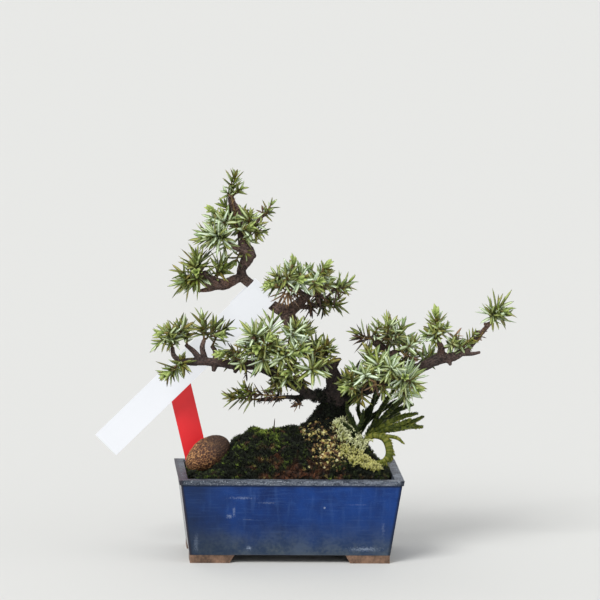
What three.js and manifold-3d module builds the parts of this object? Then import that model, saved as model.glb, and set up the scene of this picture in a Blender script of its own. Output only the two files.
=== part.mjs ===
// Needle juniper bonsai in a blue glazed rectangular pot.
// Millimetres, +Z up, +X along the pot's long side, the viewing side is -Y.
// Pieces are drawn with the middle of the pot's underside at 0, 0, 0. The finished
// group is then shifted so that the middle of the whole tree's box stands there.

import * as THREE from "three";
import { mergeVertices } from "three/addons/utils/BufferGeometryUtils.js";
import Module from "manifold-3d";

const wasm = await Module();
wasm.setup();

// Driving dimensions, in millimetres

const GAP = 0.3; // clearance between pieces that touch
const BURIED = 0.1; // how far the parts of one body run into each other
const SNUG = 1.3; // holes round the wood are this many gaps wider than it

const POT_LENGTH = 136; // over the rim
const POT_DEPTH = 74;
const POT_HEIGHT = 52; // feet included
const POT_BASE_LENGTH = 123; // where the wall meets the feet
const POT_BASE_DEPTH = 61;
const POT_WALL = 5.5;
const POT_FLOOR = 6;
const LIP_HEIGHT = 3;
const LIP_PROUD = 0.8; // how far the wall is set back below the lip
const FOOT_HEIGHT = 5;
const FOOT_LENGTH = 27; // along the pot's front, at the top of the foot
const FOOT_SIDE_LENGTH = 18; // along the pot's end
const FOOT_THICK = 8;
const FOOT_SLOPE = 3; // how much shorter a foot is at the bottom
const DRAIN_HOLE = 10; // diameter
const DRAIN_SPACING = 32; // from the middle of the pot to each hole
const DRAIN_MESH = 14; // side of the square mesh over each hole
const DRAIN_MESH_THICK = 0.8;
const DRAIN_MESH_HOLE = 4;

const SOIL_TOP = 46;
const MOSS_EDGE = 50; // height of the moss at the pot's wall
const MOSS_HEIGHT = 25; // rise of the mound above that
const MOSS_HALF_LENGTH = 60;
const MOSS_HALF_DEPTH = 29;
const TRUNK_SKIRT = 22; // extra rise of the moss against the trunk

const TAG_WIDTH = 18;
const TAG_LENGTH = 132;
const TAG_THICK = 0.6;
const LABEL_WIDTH = 14;
const LABEL_THICK = 0.8;
const LABEL_HEIGHT = 80;
const LABEL_POINT = 10;

const STONE_LENGTH = 30;
const STONE_WIDTH = 20;
const STONE_HEIGHT = 19;

const NEEDLE_RADIUS = 0.5; // at the root of a three-sided needle
const CORE_RADIUS = 1.1; // of the slim green shoot that the needles stand on
const CORE_TIP_RADIUS = 0.85;
const BUD_LENGTH = 2; // pointed end of the shoot
const BARK_RELIEF = 0.09; // ridges of the bark, as a share of the limb's radius
const RIDGE_PITCH = 7; // the ridges wind round the limb as they run along it

const COLOURS = {
  glaze: [0x26427d, 0.25],
  soil: [0x3b2c22, 0.95],
  moss: [0x2f3f1c, 0.95],
  bark: [0x4a3730, 0.9],
  needle: [0x5f8a4e, 0.55],
  frond: [0x4f7030, 0.6],
  greyLichen: [0xb4bb9c, 0.95],
  yellowLichen: [0xa9a95a, 0.95],
  shell: [0x9a6a45, 0.8],
  redPlastic: [0xe22c34, 0.4],
  whitePlastic: [0xf6f6f8, 0.45],
  meshPlastic: [0x202022, 0.6],
};

// Solids and meshes

const group = new THREE.Group();

function addPiece(name, solid, colour) {
  const mesh = new THREE.Mesh(
    geometryOf(solid),
    new THREE.MeshStandardMaterial({
      color: COLOURS[colour][0],
      roughness: COLOURS[colour][1],
      metalness: 0,
    }),
  );
  mesh.name = name;
  group.add(mesh);
}

function solidOf(geometry) {
  const bare = geometry.clone();
  bare.deleteAttribute("normal");
  bare.deleteAttribute("uv");
  const merged = mergeVertices(bare, 1e-4);
  const corners = merged.index.array;
  const kept = [];
  for (let i = 0; i < corners.length; i += 3) {
    const [a, b, c] = [corners[i], corners[i + 1], corners[i + 2]];
    if (a !== b && b !== c && c !== a) kept.push(a, b, c);
  }
  return new wasm.Manifold(new wasm.Mesh({
    numProp: 3,
    vertProperties: new Float32Array(merged.attributes.position.array),
    triVerts: new Uint32Array(kept),
  }));
}

function geometryOf(solid) {
  const mesh = solid.getMesh();
  const geometry = new THREE.BufferGeometry();
  geometry.setAttribute("position", new THREE.BufferAttribute(mesh.vertProperties, 3));
  geometry.setIndex(new THREE.BufferAttribute(mesh.triVerts, 1));
  geometry.computeVertexNormals();
  return geometry;
}

function joined(solids) {
  return solids.reduce((whole, solid) => whole.add(solid));
}

function largestBody(solid) {
  const bodies = solid.decompose();
  return bodies.reduce((a, b) => (b.volume() > a.volume() ? b : a));
}

function moved(geometry, x, y, z) {
  return geometry.translate(x, y, z);
}

// A repeatable draw between 0 and 1

function drawFrom(seed) {
  let state = seed;
  return () => {
    state = (state * 1664525 + 1013904223) % 4294967296;
    return state / 4294967296;
  };
}

// A closed tapering limb along a smooth line through points [x, y, z, radius].
// facing turns it into a ribbon whose broad side looks that way.

function limb(points, { sides = 6, step = 5, grow = 0, relief = 0, facing, thin = 1, teeth = 0 } = {}) {
  const curve = new THREE.CatmullRomCurve3(points.map(([x, y, z]) => new THREE.Vector3(x, y, z)));
  const length = curve.getLength();
  const steps = Math.max(1, Math.round(length / step));
  const frames = curve.computeFrenetFrames(steps);
  const geometry = new THREE.CylinderGeometry(1, 1, 1, sides, steps);
  const position = geometry.attributes.position;
  for (let i = 0; i < position.count; i++) {
    const ring = Math.round((position.getY(i) + 0.5) * steps);
    const t = curve.getUtoTmapping(ring / steps);
    const point = curve.getPoint(t);
    const radius = radiusAt(points, t) + grow;
    const wide = frames.normals[ring].clone();
    const across = frames.binormals[ring].clone().negate();
    if (facing) {
      wide.crossVectors(frames.tangents[ring], facing).normalize();
      across.crossVectors(wide, frames.tangents[ring]);
    }
    if (ring === 0) point.addScaledVector(frames.tangents[0], -grow);
    if (ring === steps) point.addScaledVector(frames.tangents[steps], grow);
    const angle = Math.atan2(position.getZ(i), position.getX(i));
    const along = (ring / steps) * length;
    const ridges = Math.sin(3 * angle + along / RIDGE_PITCH);
    const bark = 1 + relief * (ridges + 0.5 * Math.sin(2 * angle - (2 * along) / RIDGE_PITCH));
    const tooth = ring % 2 ? 1 - teeth : 1;
    point.addScaledVector(wide, position.getX(i) * radius * bark * tooth);
    point.addScaledVector(across, position.getZ(i) * (radius * thin * bark + grow * (1 - thin)));
    position.setXYZ(i, point.x, point.y, point.z);
  }
  return solidOf(geometry);
}

function radiusAt(points, t) {
  const place = t * (points.length - 1);
  const k = Math.min(Math.floor(place), points.length - 2);
  return THREE.MathUtils.lerp(points[k][3], points[k + 1][3], place - k);
}

// Pot: a tapered box with a proud lip, four corner feet and two drain holes

function taperedBox(length, depth, bottomLength, bottomDepth, low, high) {
  const geometry = new THREE.BoxGeometry(1, 1, high - low);
  const position = geometry.attributes.position;
  for (let i = 0; i < position.count; i++) {
    const top = position.getZ(i) > 0;
    position.setX(i, position.getX(i) * (top ? length : bottomLength));
    position.setY(i, position.getY(i) * (top ? depth : bottomDepth));
  }
  return moved(geometry, 0, 0, (low + high) / 2);
}

// Outer length of the sloping wall at a height, set in by a margin all round
function wallLength(z, margin) {
  const rise = (z - FOOT_HEIGHT) / (POT_HEIGHT - FOOT_HEIGHT);
  return THREE.MathUtils.lerp(POT_BASE_LENGTH, POT_LENGTH, rise) - 2 * margin;
}

function wallDepth(z, margin) {
  const rise = (z - FOOT_HEIGHT) / (POT_HEIGHT - FOOT_HEIGHT);
  return THREE.MathUtils.lerp(POT_BASE_DEPTH, POT_DEPTH, rise) - 2 * margin;
}

function insideWalls(margin, low, high) {
  return taperedBox(
    wallLength(high, margin), wallDepth(high, margin),
    wallLength(low, margin), wallDepth(low, margin), low, high,
  );
}

// One arm of a corner foot, lying along X or along Y, with a slope at its free end
function footArm(length, thick, alongX) {
  const shape = new THREE.Shape();
  shape.moveTo(0, FOOT_HEIGHT + BURIED);
  shape.lineTo(0, 0);
  shape.lineTo(length - FOOT_SLOPE, 0);
  shape.lineTo(length, FOOT_HEIGHT + BURIED);
  const geometry = new THREE.ExtrudeGeometry(shape, { depth: thick, bevelEnabled: false });
  geometry.rotateX(Math.PI / 2);
  geometry.translate(0, thick, 0);
  if (!alongX) {
    geometry.rotateZ(-Math.PI / 2);
    geometry.scale(1, -1, 1);
    flipFaces(geometry);
  }
  return geometry;
}

function flipFaces(geometry) {
  const position = geometry.attributes.position;
  for (let i = 0; i < position.count; i += 3) {
    const [x, y, z] = [position.getX(i), position.getY(i), position.getZ(i)];
    position.setXYZ(i, position.getX(i + 1), position.getY(i + 1), position.getZ(i + 1));
    position.setXYZ(i + 1, x, y, z);
  }
}

function cornerFoot(signX, signY) {
  const arms = [footArm(FOOT_LENGTH, FOOT_THICK, true), footArm(FOOT_SIDE_LENGTH, FOOT_THICK, false)];
  return joined(arms.map((arm) => {
    arm.translate(-POT_BASE_LENGTH / 2 + 1, -POT_BASE_DEPTH / 2 + 1, 0);
    arm.scale(-signX, -signY, 1);
    if (signX * signY < 0) flipFaces(arm);
    return solidOf(arm);
  }));
}

function drainHole(x, diameter, low, high) {
  const geometry = new THREE.CylinderGeometry(diameter / 2, diameter / 2, high - low, 16);
  geometry.rotateX(Math.PI / 2);
  return solidOf(moved(geometry, x, 0, (low + high) / 2));
}

function pot() {
  const lipLow = POT_HEIGHT - LIP_HEIGHT;
  const body = solidOf(insideWalls(LIP_PROUD, FOOT_HEIGHT, lipLow + BURIED));
  const lip = solidOf(insideWalls(0, lipLow, POT_HEIGHT));
  const hollow = solidOf(insideWalls(POT_WALL, FOOT_HEIGHT + POT_FLOOR, POT_HEIGHT + 1));
  const feet = [[-1, -1], [1, -1], [-1, 1], [1, 1]].map(([x, y]) => cornerFoot(x, y));
  let solid = joined([body, lip, ...feet]).subtract(hollow);
  for (const side of [-1, 1]) {
    solid = solid.subtract(drainHole(side * DRAIN_SPACING, DRAIN_HOLE, 0, FOOT_HEIGHT + POT_FLOOR + 1));
  }
  return solid;
}

// Drain mesh: a square of plastic grid lying on the floor over a drain hole

function drainMesh(x) {
  const z = FOOT_HEIGHT + POT_FLOOR + GAP + DRAIN_MESH_THICK / 2;
  let solid = solidOf(moved(new THREE.BoxGeometry(DRAIN_MESH, DRAIN_MESH, DRAIN_MESH_THICK), x, 0, z));
  const pitch = DRAIN_MESH / 4;
  for (const i of [-1, 1]) {
    for (const j of [-1, 1]) {
      const opening = new THREE.BoxGeometry(DRAIN_MESH_HOLE, DRAIN_MESH_HOLE, 2);
      solid = solid.subtract(solidOf(moved(opening, x + i * pitch, j * pitch, z)));
    }
  }
  return solid;
}

// Wood: the trunk and every twig, as lines of points [x, y, z, radius]

const TRUNK = [
  [26, 2, 38, 16], [26, 2, 47, 15], [26, 2, 57, 12.5], [27, 3, 67, 10.5], [28, 3, 77, 8.8],
  [27, 3, 89, 7.4], [28, 2, 99, 6.3], [28, 1, 105, 5.3], [26, 0, 111, 4.6], [21, -1, 117, 4.2],
  [13, -2, 125, 4.2], [6, -1, 134, 4.3], [0, 1, 143, 4.5], [-4, 3, 149, 4.4], [-9, 4, 151, 3.4],
  [-14, 4, 155, 3.2], [-20, 4, 161, 3.1], [-25, 4, 166, 3], [-29, 2, 170, 3], [-30, 0, 175, 2.8],
  [-27, -1, 181, 4.2], [-27, -2, 185, 4.8], [-29, -3, 189, 3.8], [-31, -4, 197, 2.5],
  [-32, -2, 203, 2.4], [-34, 0, 211, 2.5], [-37, 1, 217, 2.2], [-37, 1, 221, 1.6],
];
const TWIGS = [
  [[-28, 3, 169, 2.6], [-33, 1, 169, 2.8], [-41, -2, 166, 3.3], [-46, -4, 167, 3.8], [-52, -5, 170, 3.8],
    [-54, -6, 174, 2.4]],
  [[-45, -3, 165, 2.4], [-51, -3, 163, 1.6], [-57, -3, 162, 0.8]],
  [[-28, -4, 187, 2.6], [-35, -9, 190, 2], [-42, -13, 194, 1.4]],
  [[-30, -4, 195, 1.9], [-25, -2, 201, 1.6], [-20, 1, 206, 1.4], [-16, 2, 209, 1.2]],
  [[-2, 2, 148, 4], [4, -1, 154, 3.4], [9, -5, 160, 2.7], [14, -8, 165, 2.1], [22, -8, 166, 1.7],
    [27, -7, 164, 1.2]],
  [[8, -4, 159, 2], [2, -10, 165, 1.6], [-5, -13, 169, 1.2]],
  [[4, -1, 153, 2], [12, 2, 152, 1.5], [18, 6, 153, 1.3], [23, 8, 154, 1.2]],
  [[9, -5, 160, 2], [13, 6, 164, 1.5], [16, 14, 166, 1.2]],
  [[28, 2, 96, 5], [20, -1, 98, 3.6], [13, -4, 99, 3.1], [6, -7, 104, 3.2], [-2, -9, 108, 3.3],
    [-10, -10, 113, 3.7], [-21, -10, 118, 3.5], [-32, -9, 118, 3], [-43, -9, 119, 2.6],
    [-53, -10, 120, 2.7], [-60, -11, 120, 2.4], [-67, -13, 121, 1.9], [-71, -13, 124, 1.6],
    [-72, -11, 129, 1.3]],
  [[-55, -10, 121, 2.2], [-59, -8, 126, 1.7], [-64, -7, 130, 1.3]],
  [[-52, -10, 121, 2], [-54, -12, 129, 1.7], [-53, -14, 134, 1.3]],
  [[-46, -9, 120, 1.7], [-46, -6, 126, 1.5], [-48, -5, 129, 1.3]],
  [[13, -4, 99, 2.4], [5, -8, 98, 1.7], [-3, -12, 99, 1.4], [-13, -15, 98, 1.3], [-20, -17, 98, 1.2]],
  [[7, -7, 98, 1.3], [5, -10, 95, 1.1], [2, -12, 93, 0.8]],
  [[17, -2, 121, 3], [10, -13, 127, 2.4], [2, -20, 128, 2], [-4, -24, 130, 1.5]],
  [[23, -1, 114, 2.8], [18, -13, 117, 1.9], [13, -20, 118, 1.4]],
  [[-15, -10, 115, 2.4], [-17, -15, 121, 1.8], [-18, -18, 126, 1.4]],
  [[28, 3, 94, 5.2], [37, 4, 97, 4.2], [46, 5, 101, 4], [54, 5, 104, 3.6], [64, 5, 109, 3.3],
    [74, 4, 113, 3.2], [82, 3, 116, 3.3], [91, 2, 121, 3.7], [99, 2, 122, 3], [107, 2, 126, 2.1],
    [112, 3, 131, 1.8], [117, 3, 137, 1.7], [122, 3, 143, 1.3]],
  [[91, 2, 121, 3], [92, 1, 127, 2.3], [90, 0, 132, 1.5]],
  [[57, 5, 105, 3.2], [60, 8, 115, 2.9], [60, 9, 122, 2.8], [56, 7, 127, 2.8], [51, 4, 131, 2.2]],
  [[60, 9, 121, 2.1], [66, 6, 125, 1.6], [70, 3, 126, 1.3]],
  [[50, 4, 102, 2.6], [53, -8, 107, 1.9], [59, -14, 111, 1.4]],
  [[44, 4, 100, 2.4], [46, -4, 105, 1.7], [48, -9, 108, 1.3]],
  [[38, 4, 97, 2.4], [38, -3, 102, 1.6], [37, -7, 105, 1.3]],
  [[65, 5, 109, 2.4], [69, 14, 114, 1.6]],
  [[104, 2, 124, 1.8], [111, 1, 124, 1.3], [116, 1, 125, 0.9]],
];

// Sides of a limb follow its girth
function woodLimb(points, grow) {
  const girth = Math.max(...points.map((point) => point[3]));
  const sides = girth > 6 ? 8 : girth > 3 ? 6 : 5;
  return limb(points, { sides, step: 9, grow, relief: girth > 2.2 ? BARK_RELIEF : 0 });
}

const woodSpace = joined([TRUNK, ...TWIGS].map((points) => woodLimb(points, GAP * SNUG)));

// Every slim stretch already placed, so that needles can keep clear of it

const placed = [];

function register(owner, a, b, radius) {
  placed.push({ owner, line: new THREE.Line3(a, b), radius });
}

function registerLimb(owner, points) {
  for (let i = 1; i < points.length; i++) {
    const [a, b] = [points[i - 1], points[i]];
    register(owner, new THREE.Vector3(...a), new THREE.Vector3(...b), Math.max(a[3], b[3]));
  }
}

function isClear(owner, line, radius) {
  const reach = line.distance() / 2;
  const middle = line.getCenter(new THREE.Vector3());
  const here = new THREE.Vector3();
  const near = new THREE.Vector3();
  return placed.every((other) => {
    const room = radius + other.radius + GAP;
    if (other.owner === owner) return true;
    const otherMiddle = other.line.getCenter(near);
    if (middle.distanceTo(otherMiddle) > reach + other.line.distance() / 2 + room) return true;
    for (let k = 0; k <= 1; k += 0.1) {
      line.at(k, here);
      other.line.closestPointToPoint(here, true, near);
      if (here.distanceTo(near) < room) return false;
    }
    return true;
  });
}

[TRUNK, ...TWIGS].forEach((points) => registerLimb("wood", points));

// White tag: a strip folded over the trunk, its tail behind it and its long end
// running down to the left. u runs along the strip, v out towards the viewer.

const TAG_FOLD = new THREE.Vector3(-18.5, 4, 159.5); // on the trunk's line
const TAG_ALONG = new THREE.Vector3(-0.7, 0, -0.714).normalize();
const TAG_AXIS = new THREE.Vector3(-0.714, 0, 0.7).normalize();
const TAG_RING = 4.1; // inner radius of the fold
const TAG_LEAN = 9; // how far the long end lies behind the fold's front
const TAG_TAIL = 17;

function tagPoint(u, v) {
  return TAG_FOLD.clone().addScaledVector(TAG_ALONG, u).add(new THREE.Vector3(0, -v, 0));
}

function whiteTag() {
  const outer = TAG_RING + TAG_THICK;
  const shape = new THREE.Shape();
  shape.moveTo(TAG_LENGTH, TAG_RING - TAG_LEAN);
  shape.lineTo(TAG_LENGTH, outer - TAG_LEAN);
  shape.lineTo(0, outer);
  shape.absarc(0, 0, outer, Math.PI / 2, Math.PI * 1.5, false);
  shape.lineTo(TAG_TAIL, -1.2 - TAG_THICK);
  shape.lineTo(TAG_TAIL, -1.2);
  shape.lineTo(0, -TAG_RING);
  shape.absarc(0, 0, TAG_RING, Math.PI * 1.5, Math.PI / 2, true);
  const geometry = new THREE.ExtrudeGeometry(shape, {
    depth: TAG_WIDTH, bevelEnabled: false, curveSegments: 7,
  });
  geometry.translate(0, 0, -TAG_WIDTH / 2);
  const turn = new THREE.Matrix4().makeBasis(TAG_ALONG, new THREE.Vector3(0, -1, 0), TAG_AXIS);
  turn.setPosition(TAG_FOLD);
  return solidOf(geometry.applyMatrix4(turn));
}

for (let side = -TAG_WIDTH / 2; side <= TAG_WIDTH / 2; side += 2) {
  const shift = TAG_AXIS.clone().multiplyScalar(side);
  const ends = [tagPoint(6, TAG_RING), tagPoint(TAG_LENGTH, TAG_RING - TAG_LEAN)];
  register("white_tag", ends[0].add(shift), ends[1].add(shift), 1);
}

// Red label: a thin stake that leans to the left, pointed under the soil

const LABEL_FOOT = new THREE.Vector3(-50, 14, 36);
const LABEL_LEAN = THREE.MathUtils.degToRad(14);

function redLabel(grow) {
  const half = LABEL_WIDTH / 2 + grow;
  const shape = new THREE.Shape();
  shape.moveTo(0, -grow);
  shape.lineTo(half, LABEL_POINT);
  shape.lineTo(half, LABEL_HEIGHT);
  shape.lineTo(-half, LABEL_HEIGHT);
  shape.lineTo(-half, LABEL_POINT);
  const thick = LABEL_THICK + 2 * grow;
  const geometry = new THREE.ExtrudeGeometry(shape, { depth: thick, bevelEnabled: false });
  geometry.translate(0, 0, -thick / 2);
  geometry.rotateX(Math.PI / 2);
  geometry.rotateY(-LABEL_LEAN);
  return solidOf(moved(geometry, LABEL_FOOT.x, LABEL_FOOT.y, LABEL_FOOT.z));
}

// Seed stone: an almond-shaped stone with a seam and a pitted face

const STONE_CENTRE = new THREE.Vector3(-49.5, -5, 62.5);
const STONE_TILT = THREE.MathUtils.degToRad(-33);

function seedStone(grow) {
  const geometry = new THREE.SphereGeometry(1, 14, 10);
  geometry.rotateZ(Math.PI / 2);
  const position = geometry.attributes.position;
  for (let i = 0; i < position.count; i++) {
    const x = position.getX(i);
    const angle = Math.atan2(position.getZ(i), position.getY(i));
    const girth = 1 - 0.12 * x * x + 0.1 * x;
    const seam = 1 + 0.08 * Math.exp(-((angle / 0.35) ** 2)) - 0.03 * Math.abs(Math.sin(angle * 2.5 + x * 4));
    position.setXYZ(
      i,
      x * (STONE_LENGTH / 2 + grow),
      position.getY(i) * (STONE_WIDTH / 2) * girth * seam * (1 + (2 * grow) / STONE_WIDTH),
      position.getZ(i) * (STONE_HEIGHT / 2) * girth * seam * (1 + (2 * grow) / STONE_HEIGHT),
    );
  }
  geometry.rotateY(STONE_TILT);
  return solidOf(moved(geometry, STONE_CENTRE.x, STONE_CENTRE.y, STONE_CENTRE.z));
}

// Soil: fills the pot up to a flat top with a slightly crumbly surface at its edge

function soil() {
  const low = FOOT_HEIGHT + POT_FLOOR + GAP * 2 + DRAIN_MESH_THICK;
  const floorLow = FOOT_HEIGHT + POT_FLOOR + GAP;
  const block = solidOf(insideWalls(POT_WALL + GAP, floorLow, SOIL_TOP));
  let solid = block.subtract(woodSpace).subtract(redLabel(GAP));
  for (const side of [-1, 1]) {
    const box = new THREE.BoxGeometry(DRAIN_MESH + 2 * GAP, DRAIN_MESH + 2 * GAP, 2 * (low - floorLow));
    solid = solid.subtract(solidOf(moved(box, side * DRAIN_SPACING, 0, floorLow)));
  }
  return largestBody(solid);
}

// Moss: a mound of cushions over the whole surface, highest against the trunk

const TRUNK_AT_SOIL = new THREE.Vector2(26, 2);
const MOUND_MIDDLE = new THREE.Vector2(5, 1);
const MOUND_REACH = 46; // where the mound falls off towards the pot's ends
const MOUND_SHOULDER = 6; // how flat its top is against its flanks
const SKIRT_REACH = 12; // of the extra rise round the trunk

// Broad swell of the mound along the pot, its round back across it, the rise against
// the trunk, and low cushions over everything
function mossHeight(x, y) {
  const swell = Math.exp(-(((x - MOUND_MIDDLE.x) / MOUND_REACH) ** MOUND_SHOULDER));
  const ridge = Math.max(0, 1 - ((y - MOUND_MIDDLE.y) / (MOSS_HALF_DEPTH + 1)) ** 2) ** 0.9;
  const toTrunk = TRUNK_AT_SOIL.distanceTo(new THREE.Vector2(x, y));
  const skirt = TRUNK_SKIRT * Math.exp(-((toTrunk / SKIRT_REACH) ** 2));
  const cushions = 1.3 * Math.sin(x / 4.3 + 1) * Math.sin(y / 4.1) + 0.8 * Math.sin(x / 2.9 + y / 3.3);
  return MOSS_EDGE + MOSS_HEIGHT * swell * ridge + skirt + cushions * ridge;
}

const MOSS_RINGS = 8;
const MOSS_SIDES = 32;

// A dome on a flat foot, pressed into a mound: the dome takes the moss's height, the foot
// lies flat on the soil, and its outline fills the pot's rounded rectangle.
function moss() {
  const profile = [new THREE.Vector2(0, -0.1), new THREE.Vector2(0.985, -0.1)];
  for (let k = MOSS_RINGS; k >= 0; k--) {
    const angle = (k / MOSS_RINGS) * (Math.PI / 2);
    profile.push(new THREE.Vector2(k > 0 ? Math.sin(angle) : 0, k < MOSS_RINGS ? Math.cos(angle) : 0));
  }
  const geometry = new THREE.LatheGeometry(profile, MOSS_SIDES);
  geometry.rotateX(Math.PI / 2);
  const position = geometry.attributes.position;
  for (let i = 0; i < position.count; i++) {
    const [x, y, z] = [position.getX(i), position.getY(i), position.getZ(i)];
    const share = Math.hypot(x, y);
    const [c, s] = share > 0 ? [Math.abs(x) / share, Math.abs(y) / share] : [1, 0];
    const reach = 1 / ((c / MOSS_HALF_LENGTH) ** 5 + (s / MOSS_HALF_DEPTH) ** 5) ** 0.2;
    const [px, py] = [x * reach, y * reach];
    position.setXYZ(i, px, py, z < -1e-6 ? SOIL_TOP + GAP : mossHeight(px, py));
  }
  return solidOf(geometry);
}

// Lichen: a low crust on the moss that carries upright pointed tufts, set in a spiral

const CRUST_HALF_HEIGHT = 1.6;
const TUFT_RADIUS = 1.5;
const SPIRAL_TURN = 2.4; // radians from one tuft to the next
const TUFT_UPRIGHT = 1.4; // rise of the outermost tuft against its outward lean

function lichen({ centre, halfLength, halfDepth, tufts, tall, seed }, grow) {
  const draw = drawFrom(seed);
  const crust = new THREE.SphereGeometry(1, 10, 4);
  crust.rotateX(Math.PI / 2);
  const position = crust.attributes.position;
  for (let i = 0; i < position.count; i++) {
    const x = centre[0] + position.getX(i) * (halfLength + grow);
    const y = centre[1] + position.getY(i) * (halfDepth + grow);
    position.setXYZ(i, x, y, mossHeight(x, y) + 1 + position.getZ(i) * (CRUST_HALF_HEIGHT + grow));
  }
  let solid = solidOf(crust);
  for (let k = 0; k < tufts; k++) {
    const turn = k * SPIRAL_TURN;
    const share = 0.85 * Math.sqrt((k + 0.5) / tufts);
    const x = centre[0] + Math.cos(turn) * share * halfLength;
    const y = centre[1] + Math.sin(turn) * share * halfDepth;
    const height = tall * (0.7 + 0.5 * draw()) + 2 * grow;
    const lean = new THREE.Vector3(Math.cos(turn) * share, Math.sin(turn) * share, TUFT_UPRIGHT);
    const cone = new THREE.ConeGeometry(TUFT_RADIUS + grow, height, 3);
    cone.translate(0, height / 2, 0);
    const upright = new THREE.Vector3(0, 1, 0);
    cone.applyQuaternion(new THREE.Quaternion().setFromUnitVectors(upright, lean.normalize()));
    solid = solid.add(solidOf(moved(cone, x, y, mossHeight(x, y) + 0.6)));
  }
  return solid;
}

const GREY_LICHEN = { centre: [36, -11], halfLength: 10, halfDepth: 6, tufts: 9, tall: 9, seed: 11 };
const YELLOW_LICHEN = { centre: [42, -20], halfLength: 13, halfDepth: 5, tufts: 10, tall: 6, seed: 23 };

// Companion plant: forked fronds set with small scale leaves, rising from the moss
// beside the trunk. Each is one body of ribbons; facing is the way its face looks.

const FROND_STYLE = { sides: 4, step: 5, thin: 0.34, teeth: 0.22 };
const FRONDS = {
  frond_curl: {
    facing: [0.3, -0.9, 0.3],
    ribbons: [
      [[43, -7, 58, 1.8], [46, -7, 71, 2.4], [51, -9, 75, 2.9], [57, -11, 74, 3.2], [60, -13, 69, 3.3],
        [60, -15, 64, 3.2], [57, -17, 61, 2.6], [53, -18, 60, 1.4]],
      [[51, -9, 75, 2], [59, -11, 75, 2.1], [65, -12, 74, 1.9], [69, -13, 71, 0.9]],
    ],
  },
  frond_right: {
    facing: [-0.1, -0.8, 0.6],
    ribbons: [
      [[46, -3, 58, 2], [49, -3, 74, 2.8], [60, -4, 78, 3.2], [71, -5, 80, 2.9], [80, -6, 80, 1.4]],
      [[57, -4, 77, 2.2], [67, -8, 79, 2.4], [76, -10, 82, 1.1]],
      [[68, -5, 80, 2.2], [75, -5, 83, 2.2], [81, -5, 86, 1]],
      [[51, -4, 76, 2.2], [60, -5, 82, 2.8], [69, -5, 86, 2.6], [77, -5, 88, 1.2]],
    ],
  },
  frond_high: {
    facing: [-0.4, -0.8, 0.4],
    ribbons: [
      [[46, 1, 58, 2], [49, 1, 75, 2.7], [57, 2, 83, 3], [67, 3, 89, 2.7], [75, 3, 92, 1.3]],
      [[58, 2, 84, 2.3], [66, 3, 92, 2.5], [72, 4, 97, 1.1]],
      [[50, 1, 77, 2.2], [55, 3, 87, 2.6], [60, 4, 95, 2.3], [64, 4, 101, 1]],
      [[53, 1, 79, 1.9], [60, 7, 82, 2.3], [68, 12, 85, 1.2]],
    ],
  },
  frond_up: {
    facing: [-0.5, -0.9, 0.1],
    ribbons: [
      [[43, 6, 58, 2], [44, 6, 75, 2.4], [47, 9, 84, 2.7], [52, 11, 91, 2.4], [56, 12, 97, 1.1]],
      [[45, 8, 80, 2], [43, 12, 87, 2.1], [44, 16, 92, 1]],
      [[45, 7, 77, 2.1], [52, 9, 84, 2.4], [60, 11, 89, 2.2], [66, 13, 93, 1]],
    ],
  },
  frond_left: {
    facing: [0.1, -1, 0.2],
    ribbons: [
      [[40, -11, 58, 1.8], [40, -11, 76, 2.3], [38, -11, 84, 2.3], [34, -12, 91, 1.1]],
      [[40, -11, 77, 1.9], [43, -12, 84, 2.2], [44, -13, 91, 1]],
      [[40, -11, 74, 1.7], [36, -13, 80, 1.9], [31, -14, 84, 0.9]],
    ],
  },
};

// grow thickens a frond all round, for the holes that its feet stand in
function frond({ facing, ribbons }, grow) {
  const towards = new THREE.Vector3(...facing).normalize();
  return joined(ribbons.map((points) => limb(points, { ...FROND_STYLE, grow, facing: towards })));
}

for (const [name, { ribbons }] of Object.entries(FRONDS)) {
  ribbons.forEach((points) => registerLimb(name, points));
}
const frondSpace = joined(Object.values(FRONDS).map((shape) => frond(shape, GAP * 1.6)));

// Needle shoots. Each spray stands on the wood at its root, forks if it has more than
// one tip, and carries whorls of three needles. A tip is [x, y, z, needle, whorls].

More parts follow.
